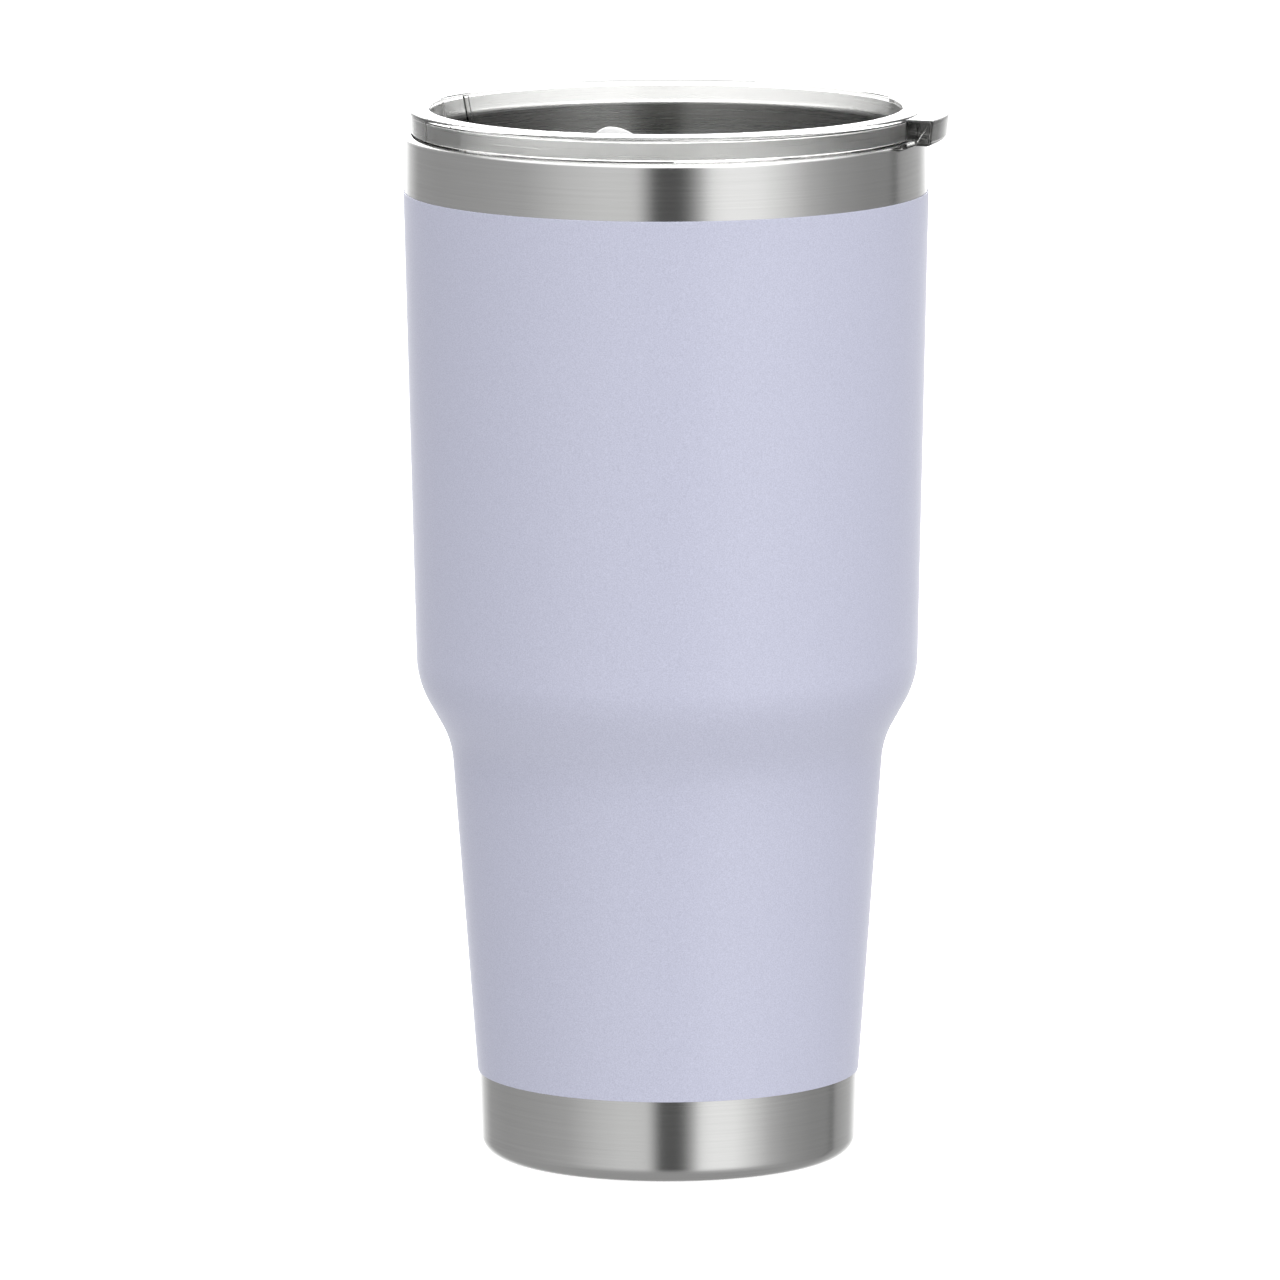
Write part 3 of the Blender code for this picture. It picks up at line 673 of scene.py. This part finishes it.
def combined(start, *steps):
    """A bmesh of one solid after others are joined to it or cut from it, in order."""
    body = helper("combining", start)
    helpers = []
    for operation, bm in steps:
        other = helper(f"{operation.lower()}_solid", bm)
        boolean = body.modifiers.new(operation.lower(), "BOOLEAN")
        boolean.operation = operation
        boolean.solver = "EXACT"
        boolean.object = other
        helpers.append(other)
    depsgraph = bpy.context.evaluated_depsgraph_get()
    result = bmesh.new()
    result.from_mesh(body.evaluated_get(depsgraph).to_mesh())
    for obj in (body, *helpers):
        bpy.data.objects.remove(obj, do_unlink=True)
    bmesh.ops.remove_doubles(result, verts=result.verts, dist=WELD)
    bmesh.ops.dissolve_degenerate(result, dist=WELD, edges=result.edges)
    bmesh.ops.recalc_face_normals(result, faces=result.faces)
    return result


# %% [markdown]
# ## Webs, marks and the thumb lip
#
# Two webs stiffen the hollow collar beside the place to drink from. Two moulded ridges on
# the leaning wall of the recess show where that is. The thumb lip is a wide arc that
# stands out over the cup, so that a thumb can lift the lid. Its section is spun through
# part of a turn, and the edges of its two ends are bevelled.

# %% Webs and marks
WEB_ANGLES = [math.radians(degrees) for degrees in (160.0, 200.0)]
WEB_WIDTH = 0.9
WEB_TOP_Z = 4.3
MARK_ANGLE = math.radians(30.6)
MARK_WIDTH = 1.1
MARK_DEPTH = 0.7
MARK_ROOT = 0.5
MARK_UNDER_CREST = 0.5
MARK_OVER_FLOOR = 1.5
OVERLAP = 0.3  # how far one solid goes into the one that it is joined to
STEP = 0.05  # keeps two bottoms from lying in one plane

lid_extras = bmesh.new()
for turn in WEB_ANGLES:
    web = block(
        lid_extras,
        (PLUG_RADIUS - OVERLAP, -WEB_WIDTH / 2, COLLAR_BOTTOM_Z + STEP),
        (CHANNEL_RADIUS + OVERLAP, WEB_WIDTH / 2, WEB_TOP_Z),
    )
    bmesh.ops.rotate(lid_extras, cent=(0, 0, 0), matrix=Matrix.Rotation(turn, 3, "Z"), verts=web)


def recess_mark(side):
    """One ridge up the leaning wall of the recess."""
    top, bottom = CREST_Z - MARK_UNDER_CREST, FLOOR_TOP_Z + MARK_OVER_FLOOR
    lean = (RECESS_TOP_RADIUS - RECESS_FLOOR_RADIUS) / (CREST_Z - FLOOR_TOP_Z)
    wall_top = RECESS_FLOOR_RADIUS + lean * (top - FLOOR_TOP_Z)
    wall_bottom = RECESS_FLOOR_RADIUS + lean * (bottom - FLOOR_TOP_Z)
    half = math.asin(MARK_WIDTH / 2 / RECESS_TOP_RADIUS)
    section = [
        (wall_bottom + MARK_ROOT, MOUTH_Z + bottom),
        (wall_top + MARK_ROOT, MOUTH_Z + top),
        (wall_top - MARK_DEPTH, MOUTH_Z + top),
        (wall_bottom - MARK_DEPTH, MOUTH_Z + bottom),
    ]
    angle = math.pi - side * MARK_ANGLE
    return turned(section, closed=True, steps=2, first_angle=angle - half, angle=2 * half)


def take_in(bm, other):
    """Adds another bmesh's mesh to this one."""
    mesh = bpy.data.meshes.new("taken_in")
    other.to_mesh(mesh)
    other.free()
    bm.from_mesh(mesh)
    bpy.data.meshes.remove(mesh)


take_in(lid_extras, recess_mark(1.0))
take_in(lid_extras, recess_mark(-1.0))
print(f"lid extras: {len(lid_extras.faces)} faces in {len(WEB_ANGLES)} webs and 2 marks")

# %% Thumb lip
LIP_HALF_ANGLE = math.radians(21.5)
LIP_TOP_Z = 4.6
LIP_BOTTOM_Z = -0.5  # it hangs a little below the mouth, clear of the steel
LIP_DROP_RADIUS = 51.2  # where its underside steps down, past the mouth's steel
LIP_DROP_LEAN = 0.4
LIP_LEAN = 0.5
LIP_EDGE = 0.9
LIP_END_EDGE = 0.6
LIP_STEPS = 24

lip_corners = [
    (CHANNEL_RADIUS + OVERLAP, COLLAR_BOTTOM_Z + STEP, 0.0),
    (LIP_DROP_RADIUS, COLLAR_BOTTOM_Z + STEP, 0.0),
    (LIP_DROP_RADIUS + LIP_DROP_LEAN, LIP_BOTTOM_Z, 0.3),
    (LIP_REACH - LIP_LEAN, LIP_BOTTOM_Z, LIP_EDGE),
    (LIP_REACH, LIP_TOP_Z, LIP_EDGE),
    (CHANNEL_RADIUS + OVERLAP, LIP_TOP_Z, 0.0),
]
lip_section = rounded_outline([(r, MOUTH_Z + z, corner) for r, z, corner in lip_corners])
thumb_lip = turned(
    lip_section, closed=True, steps=LIP_STEPS, first_angle=-LIP_HALF_ANGLE, angle=2 * LIP_HALF_ANGLE
)
ends = [f for f in thumb_lip.faces if len(f.verts) == len(lip_section)]
OUTSIDE = (COLLAR_RADIUS + 1.0) * MM  # only the edges past the collar are bevelled
end_edges = [e for f in ends for e in f.edges if max(v.co.xy.length for v in e.verts) > OUTSIDE]
bmesh.ops.bevel(
    thumb_lip,
    geom=end_edges,
    offset=LIP_END_EDGE * MM,
    segments=4,
    profile=0.5,
    affect="EDGES",
    material=-1,
)
take_in(lid_extras, thumb_lip)
print(f"thumb lip: {len(ends)} ends, reach {LIP_REACH:.2f} mm")

# %% [markdown]
# ## The lid's openings
#
# Three cuts go through the floor: the drink opening, a small vent that lets air in
# behind the drink, and the slot that the slider's leg runs in. The cutters stand clear of
# the floor on both sides, so no two faces lie on each other.

# %% Openings
DRINK_X = (-39.0, -31.0)
DRINK_HALF_WIDTH = 9.0
DRINK_CORNER = 3.9
VENT_X = 33.0
VENT_RADIUS = 1.5
LEG_X = (-25.5, -17.5)
SLOT_HALF_WIDTH = 2.5
SLOT_CORNER = 0.6
slider_joint = next(joint for joint in frame["joints"] if joint["name"] == "slider_slide")
SLIDER_TRAVEL = slider_joint["range_m"][1] / MM
GAP = 0.3  # between pieces that touch
CLEAR = 1.0  # how far a cutter stands clear of what it cuts

openings = bmesh.new()
CUT_LOW, CUT_HIGH = PLUG_BOTTOM_Z, FLOOR_TOP_Z + 2 * CLEAR
block(
    openings,
    (DRINK_X[0], -DRINK_HALF_WIDTH, CUT_LOW),
    (DRINK_X[1], DRINK_HALF_WIDTH, CUT_HIGH),
    DRINK_CORNER,
)
block(
    openings,
    (LEG_X[0] - GAP, -SLOT_HALF_WIDTH, CUT_LOW),
    (LEG_X[1] + SLIDER_TRAVEL + GAP, SLOT_HALF_WIDTH, CUT_HIGH),
    SLOT_CORNER,
)
vent = bmesh.ops.create_cone(
    openings,
    cap_ends=True,
    segments=48,
    radius1=VENT_RADIUS * MM,
    radius2=VENT_RADIUS * MM,
    depth=(CUT_HIGH - CUT_LOW) * MM,
)["verts"]
vent_place = (VENT_X * MM, 0.0, (MOUTH_Z + (CUT_LOW + CUT_HIGH) / 2) * MM)
bmesh.ops.translate(openings, vec=vent_place, verts=vent)
print(f"slider travel {SLIDER_TRAVEL:.1f} mm")

piece(
    "clear_lid",
    combined(lid_solid, ("UNION", lid_extras), ("DIFFERENCE", openings)),
    "lid",
    "clear_plastic",
    CLEAR_PLASTIC,
    "lid_body",
)

# %% [markdown]
# ## The soft ring
#
# A silicone ring sits in the plug's seat. Its two thin lips bend as the lid goes in, and
# press on the liner's straight mouth. Here they are drawn at rest, with soft round ends.

# %% Soft ring
RING_BORE_RADIUS = 46.2
RING_WEB_RADIUS = 47.2
RING_LIP_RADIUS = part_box("lid_gasket")[1].x / MM
UPPER_LIP = (0.12, 0.5, 1.1)  # tip's top, tip's bottom and root, down from the ring's top
LOWER_LIP = (0.6, 1.0, 1.2)  # tip's bottom, tip's top and root, up from the ring's bottom
ring_top = SEAT_TOP_Z - GAP
ring_bottom = SEAT_BOTTOM_Z + GAP

ring_corners = [
    (RING_BORE_RADIUS, ring_top, 0.15),
    (RING_WEB_RADIUS, ring_top, 0.1),
    (RING_LIP_RADIUS, ring_top - UPPER_LIP[0], 0.14),
    (RING_LIP_RADIUS, ring_top - UPPER_LIP[1], 0.12),
    (RING_WEB_RADIUS, ring_top - UPPER_LIP[2], 0.15),
    (RING_WEB_RADIUS, ring_bottom + LOWER_LIP[2], 0.15),
    (RING_LIP_RADIUS, ring_bottom + LOWER_LIP[1], 0.12),
    (RING_LIP_RADIUS, ring_bottom + LOWER_LIP[0], 0.12),
    (RING_WEB_RADIUS, ring_bottom, 0.1),
    (RING_BORE_RADIUS, ring_bottom, 0.15),
]
ring_outline = [(r, MOUTH_Z + z) for r, z in rounded_outline(ring_corners)]
piece("soft_ring", turned(ring_outline, closed=True), "lid", "silicone", SILICONE, "lid_gasket")

# %% [markdown]
# ## The slider
#
# A flat plate lies on the floor and covers the drink opening. Its outer end follows the
# round wall. A thumb nub stands on it, a hump with hollow flanks that is steeper towards
# the opening. A split leg with two hooks snaps through the slot and holds the plate down.

# %% Slider plate and leg
SLIDER_END_RADIUS = 42.3
SLIDER_BACK_X = 1.5
SLIDER_HALF_WIDTH = 13.0
SLIDER_CORNER = 5.0
SLIDER_THICKNESS = 2.0
SLIDER_EDGE = 0.35
SLIDER_SPARE = 5.0  # cut away again where the end follows the wall
LEG_HALF_WIDTH = 2.1
LEG_ROOT = 0.5  # how far the leg goes into the plate, and its slit stays below it
LEG_SLIT_HALF = 0.5
HOOK_REACH = 1.2
HOOK_HEIGHT = 1.4
HOOK_INSET = 1.0
HOOK_LIFT = 0.4
SEAL_X = (-40.4, -29.4)
SEAL_HALF_WIDTH = 10.4
SEAL_CORNER = 4.5
SEAL_POCKET = 1.0
plate_bottom = FLOOR_TOP_Z + GAP
plate_top = plate_bottom + SLIDER_THICKNESS
hook_top = FLOOR_TOP_Z - FLOOR_THICKNESS - GAP
hook_bottom = hook_top - HOOK_HEIGHT

plate = bmesh.new()
block(
    plate,
    (-SLIDER_END_RADIUS - SLIDER_SPARE, -SLIDER_HALF_WIDTH, plate_bottom),
    (SLIDER_BACK_X, SLIDER_HALF_WIDTH, plate_top),
    SLIDER_CORNER,
)
disc_low = MOUTH_Z + plate_bottom - 2 * CLEAR
disc_high = MOUTH_Z + plate_top + 2 * CLEAR
inside_recess = turned(
    [(0.0, disc_low), (SLIDER_END_RADIUS, disc_low), (SLIDER_END_RADIUS, disc_high), (0.0, disc_high)]
)
plate = combined(plate, ("INTERSECT", inside_recess))
plate_rim = [e for e in plate.edges if e.is_manifold and e.calc_face_angle() > RIM_ANGLE]
bmesh.ops.bevel(
    plate,
    geom=plate_rim,
    offset=SLIDER_EDGE * MM,
    segments=3,
    profile=0.5,
    affect="EDGES",
    material=-1,
)
print(f"slider plate: {len(plate.faces)} faces, rim of {len(plate_rim)} edges eased")

# %% Thumb nub
NUB_X = -10.9
NUB_FRONT = 7.0
NUB_BACK = 10.6
NUB_HALF_WIDTH = 4.8
NUB_TOP_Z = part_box("slider")[1].z / MM - MOUTH_Z
NUB_WAIST = 2.2  # 1 gives an egg, more gives it hollow flanks
NUB_ROOT = 0.2


def thumb_nub():
    """Half an egg with hollow flanks and its foot sunk in the plate."""
    foot = plate_top - NUB_ROOT
    bm = bmesh.new()
    bmesh.ops.create_uvsphere(bm, u_segments=64, v_segments=32, radius=1.0)
    low = [*bm.verts, *bm.edges, *bm.faces]
    cut = bmesh.ops.bisect_plane(
        bm, geom=low, plane_co=(0, 0, -0.05), plane_no=(0, 0, -1), clear_outer=True
    )["geom_cut"]
    bmesh.ops.holes_fill(bm, edges=[e for e in cut if isinstance(e, bmesh.types.BMEdge)], sides=0)
    for vert in bm.verts:
        if vert.co.z > 0.0:
            vert.co.z **= NUB_WAIST
    front = [v for v in bm.verts if v.co.x < 0.0]
    back = [v for v in bm.verts if v.co.x >= 0.0]
    bmesh.ops.scale(bm, vec=(NUB_FRONT * MM, 1.0, 1.0), verts=front)
    bmesh.ops.scale(bm, vec=(NUB_BACK * MM, 1.0, 1.0), verts=back)
    bmesh.ops.scale(bm, vec=(1.0, NUB_HALF_WIDTH * MM, (NUB_TOP_Z - foot) * MM), verts=bm.verts)
    bmesh.ops.translate(bm, vec=(NUB_X * MM, 0.0, (MOUTH_Z + foot) * MM), verts=bm.verts)
    return bm


leg = bmesh.new()
block(leg, (LEG_X[0], -LEG_HALF_WIDTH, hook_bottom), (LEG_X[1], LEG_HALF_WIDTH, plate_bottom + LEG_ROOT))
hook = bmesh.new()
block(
    hook,
    (LEG_X[0] + HOOK_INSET, -LEG_HALF_WIDTH - HOOK_REACH, hook_bottom + HOOK_LIFT),
    (LEG_X[1] - HOOK_INSET, LEG_HALF_WIDTH + HOOK_REACH, hook_top),
)
hollows = bmesh.new()
block(
    hollows,
    (LEG_X[0] - CLEAR, -LEG_SLIT_HALF, hook_bottom - CLEAR),
    (LEG_X[1] + CLEAR, LEG_SLIT_HALF, plate_bottom - LEG_ROOT),
)
block(
    hollows,
    (SEAL_X[0] - GAP, -SEAL_HALF_WIDTH - GAP, plate_bottom - CLEAR),
    (SEAL_X[1] + GAP, SEAL_HALF_WIDTH + GAP, plate_bottom + SEAL_POCKET),
    SEAL_CORNER,
)
piece(
    "thumb_slider",
    combined(plate, ("UNION", thumb_nub()), ("UNION", leg), ("UNION", hook), ("DIFFERENCE", hollows)),
    "slider",
    "frosted_plastic",
    FROSTED_PLASTIC,
    "slider",
)

# %% [markdown]
# ## The pad under the slider
#
# A soft pad in a pocket of the slider closes the drink opening. Its rim is eased all
# round, as a moulded silicone part's is.

# %% Pad
PAD_EDGE = 0.2
pad = bmesh.new()
pad_low, pad_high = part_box("slider_seal")
block(
    pad,
    (SEAL_X[0], -SEAL_HALF_WIDTH, pad_low.z / MM - MOUTH_Z),
    (SEAL_X[1], SEAL_HALF_WIDTH, pad_high.z / MM - MOUTH_Z),
    SEAL_CORNER - GAP,
    PAD_EDGE,
)
piece("closing_pad", pad, "slider", "silicone", SILICONE, "slider_seal")

# %% [markdown]
# ## Pieces inside the vacuum
#
# The foil, the disc, the seal, the pellet and its clip are closed in for good. Their
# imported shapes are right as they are, so they keep them and only get their finishes:
# crinkled copper foil, brushed steel, grey solder and a sintered pellet.

# %% Finishes inside the vacuum
GRAIN_SPREAD = 0.3  # how much one grain is duller or shinier than the next


def grainy_metal(name, hex_colour, roughness, grain, depth):
    material, tree, shader = new_finish(name, hex_colour, {"Metallic": 1.0, "Roughness": roughness})
    place = add_node(tree, "ShaderNodeTexCoord").outputs["Object"]
    grains = add_node(tree, "ShaderNodeTexNoise", {"Vector": place, "Scale": 1.0 / grain, "Detail": 4.0})
    dull, shiny = roughness * (1.0 + GRAIN_SPREAD), roughness * (1.0 - GRAIN_SPREAD)
    spread = add_node(
        tree, "ShaderNodeMapRange", {"Value": grains.outputs["Fac"], "To Min": shiny, "To Max": dull}
    )
    bump = add_node(tree, "ShaderNodeBump", {"Height": grains.outputs["Fac"], "Distance": depth})
    tree.links.new(spread.outputs[0], shader.inputs["Roughness"])
    tree.links.new(bump.outputs[0], shader.inputs["Normal"])
    return material


FOIL = grainy_metal("crinkled_copper_foil", "#E0A080", 0.22, 6.0 * MM, 0.3 * MM)
SOLDER = grainy_metal("grey_solder", "#9C9DA0", 0.4, 0.8 * MM, 0.05 * MM)
PELLET = grainy_metal("sintered_getter_metal", "#828286", 0.6, 0.3 * MM, 0.05 * MM)
hidden_finishes = {
    "copper_foil": FOIL,
    "outer_bottom": BRUSHED_STEEL,
    "port_seal": SOLDER,
    "getter": PELLET,
    "getter_clip": BRUSHED_STEEL,
}
for node, finish in hidden_finishes.items():
    frame["nodes"][node].material_slots[0].material = finish
print("finished inside the vacuum:", ", ".join(hidden_finishes))

# %% [markdown]
# ## The studio
#
# A steel cup shows the room that it stands in, so the room is part of the look. The
# world is a plain studio by direction: a white backdrop behind, a soft box on either side
# of the camera with the dark gap of the camera itself between them, greyer walls at the
# sides and a bright ceiling. A lamp up on the right lights everything. A bright card up
# behind the cup shows only in what shines, or it would bleach the coat's back. The camera
# itself sees plain white all round.

# %% Studio walls
WALLS = (  # degrees round from the camera, rising towards +X on its right, and brightness
    (-180, 1.60),
    (-165, 1.35),
    (-155, 0.80),
    (-142, 0.44),
    (-118, 0.43),
    (-90, 0.47),
    (-66, 0.54),
    (-44, 0.78),
    (-28, 0.89),
    (-13, 0.89),
    (-9, 0.50),
    (-5, 0.10),
    (6, 0.09),
    (10, 0.22),
    (15, 0.60),
    (20, 1.20),
    (27, 1.33),
    (41, 1.30),
    (54, 0.98),
    (66, 0.64),
    (80, 0.46),
    (100, 0.36),
    (117, 0.34),
    (119.5, 0.22),
    (122.5, 0.22),
    (125, 0.44),
    (149, 0.62),
    (168, 1.40),
    (180, 1.60),
)
CEILING = 2.3
CEILING_FROM = math.sin(math.radians(35.0))
CEILING_TO = math.sin(math.radians(60.0))
TABLE = 1.25  # what a white table throws back on a dull surface
UNDERSIDE = 0.45  # what a shiny surface sees there: the shade under the cup
UNDERSIDE_FROM = -math.sin(math.radians(20.0))
UNDERSIDE_TO = -math.sin(math.radians(50.0))

SOFT_BOXES = (  # degrees round as for the walls, degrees up, radius in degrees, times brighter
    (30.0, 55.0, 22.0, 0.6),
    (180.0, 27.0, 22.0, 2.2),
)
FEATHER = 10.0  # degrees over which a soft box fades at its edge

world = bpy.data.worlds.new("studio")
world.use_nodes = True
tree = world.node_tree
tree.nodes.clear()
direction = add_node(tree, "ShaderNodeTexCoord").outputs["Generated"]
axes = add_node(tree, "ShaderNodeSeparateXYZ", {0: direction})
ahead = add_node(tree, "ShaderNodeMath", {0: axes.outputs[1], 1: -1.0}, operation="MULTIPLY")
turn = add_node(tree, "ShaderNodeMath", {0: axes.outputs[0], 1: ahead.outputs[0]}, operation="ARCTAN2")
share = add_node(
    tree, "ShaderNodeMapRange", {"Value": turn.outputs[0], "From Min": -math.pi, "From Max": math.pi}
)
ramp = add_node(tree, "ShaderNodeValToRGB", {0: share.outputs[0]})
stops = ramp.color_ramp.elements
while len(stops) < len(WALLS):
    stops.new(1.0)
for stop, (degrees, brightness) in zip(stops, WALLS):
    stop.position = (degrees + 180) / 360
    stop.color = (brightness, brightness, brightness, 1.0)
height = add_node(
    tree,
    "ShaderNodeMapRange",
    {"Value": axes.outputs[2], "From Min": CEILING_FROM, "From Max": CEILING_TO},
    interpolation_type="SMOOTHSTEP",
)
under_ceiling = add_node(
    tree,
    "ShaderNodeMix",
    {0: height.outputs[0], 6: ramp.outputs[0], 7: (CEILING, CEILING, CEILING, 1.0)},
    data_type="RGBA",
)
depth = add_node(
    tree,
    "ShaderNodeMapRange",
    {"Value": axes.outputs[2], "From Min": UNDERSIDE_FROM, "From Max": UNDERSIDE_TO},
    interpolation_type="SMOOTHSTEP",
)
ray = add_node(tree, "ShaderNodeLightPath")
below = add_node(
    tree,
    "ShaderNodeMix",
    {
        0: ray.outputs["Is Diffuse Ray"],
        6: (UNDERSIDE, UNDERSIDE, UNDERSIDE, 1.0),
        7: (TABLE, TABLE, TABLE, 1.0),
    },
    data_type="RGBA",
)
room = add_node(
    tree,
    "ShaderNodeMix",
    {0: depth.outputs[0], 6: under_ceiling.outputs[2], 7: below.outputs[2]},
    data_type="RGBA",
)


def soft_box(side, up, radius, brightness):
    """How much brighter the room is towards one soft box."""
    side, up = math.radians(side), math.radians(up)
    centre = (math.sin(side) * math.cos(up), -math.cos(side) * math.cos(up), math.sin(up))
    towards = add_node(
        tree, "ShaderNodeVectorMath", {0: direction, 1: centre}, operation="DOT_PRODUCT"
    )
    return add_node(
        tree,
        "ShaderNodeMapRange",
        {
            "Value": towards.outputs["Value"],
            "From Min": math.cos(math.radians(radius + FEATHER)),
            "From Max": math.cos(math.radians(radius)),
            "To Max": brightness,
        },
        interpolation_type="SMOOTHSTEP",
    ).outputs[0]


lamp, back = [soft_box(*box) for box in SOFT_BOXES]
shine = add_node(tree, "ShaderNodeMath", {0: 1.0, 1: ray.outputs["Is Diffuse Ray"]}, operation="SUBTRACT")
card = add_node(tree, "ShaderNodeMath", {0: back, 1: shine.outputs[0]}, operation="MULTIPLY")
boxes = add_node(tree, "ShaderNodeMath", {0: lamp, 1: card.outputs[0]}, operation="ADD")
lit = add_node(tree, "ShaderNodeMath", {0: boxes.outputs[0], 1: 1.0}, operation="ADD")
walls = add_node(tree, "ShaderNodeBackground", {"Color": room.outputs[2], "Strength": lit.outputs[0]})
plain = add_node(tree, "ShaderNodeBackground", {"Color": (1.0, 1.0, 1.0, 1.0)})
seen = {0: ray.outputs["Is Camera Ray"], 1: walls.outputs[0], 2: plain.outputs[0]}
both = add_node(tree, "ShaderNodeMixShader", seen)
add_node(tree, "ShaderNodeOutputWorld", {"Surface": both.outputs[0]})
bpy.context.scene.world = world
print(f"studio: {len(WALLS)} wall tones, ceiling {CEILING}")

# %% [markdown]
# ## The floor
#
# A plain pale table, far wider than the cup, so that its edge never shows. It is bright
# enough to read as white paper. Seen from below it is not there, so the base shows.

# %% Floor
FLOOR_HALF = 30.0
FLOOR_GAP = 0.1 * MM  # keeps the paper off the face that rests on it
FLOOR_GLOW = 0.8

floor_bm = bmesh.new()
bmesh.ops.create_grid(floor_bm, x_segments=1, y_segments=1, size=FLOOR_HALF)
floor_mesh = bpy.data.meshes.new("floor")
floor_bm.to_mesh(floor_mesh)
floor_bm.free()
floor = bpy.data.objects.new("floor", floor_mesh)
bpy.context.scene.collection.objects.link(floor)
paper, paper_tree, paper_shader = new_finish(
    "white_paper",
    "#F6F6F6",
    {"Roughness": 0.9, "Emission Color": (1.0, 1.0, 1.0, 1.0), "Emission Strength": FLOOR_GLOW},
)
top_only = add_node(paper_tree, "ShaderNodeNewGeometry").outputs["Backfacing"]
gone = add_node(paper_tree, "ShaderNodeBsdfTransparent")
one_sided = add_node(
    paper_tree, "ShaderNodeMixShader", {0: top_only, 1: paper_shader.outputs[0], 2: gone.outputs[0]}
)
paper_tree.links.new(one_sided.outputs[0], paper_tree.nodes["Material Output"].inputs["Surface"])
floor_mesh.materials.append(paper)
floor.location.z = -FLOOR_GAP
floor.visible_glossy = False
floor.visible_diffuse = False
floor.visible_transmission = False
print(f"floor: {2 * FLOOR_HALF:.0f} m across")

# %% [markdown]
# ## The camera
#
# The cup is seen from two and a half metres with a long lens, from a little above the
# mouth, so its sides run nearly parallel. The plain Standard view keeps whites white.

# %% Camera
CAMERA_DISTANCE = 2.5
CAMERA_SIDE = -0.0053
CAMERA_HEIGHT = 0.498
AIM_HEIGHT = 0.1012
CAMERA_LENS = 363.9
CAMERA_ROLL = math.radians(-0.15)

camera_data = bpy.data.cameras.new("camera")
camera_data.lens = CAMERA_LENS
camera_data.clip_end = 100.0
camera = bpy.data.objects.new("camera", camera_data)
camera.location = (CAMERA_SIDE, -CAMERA_DISTANCE, CAMERA_HEIGHT)
aim = Vector((CAMERA_SIDE, 0.0, AIM_HEIGHT)) - camera.location
level = aim.to_track_quat("-Z", "Y").to_matrix()
camera.rotation_euler = (level @ Matrix.Rotation(CAMERA_ROLL, 3, "Z")).to_euler()
bpy.context.scene.collection.objects.link(camera)
bpy.context.scene.camera = camera
bpy.context.scene.view_settings.view_transform = "Standard"
print(f"camera {CAMERA_DISTANCE} m away, lens {CAMERA_LENS} mm")
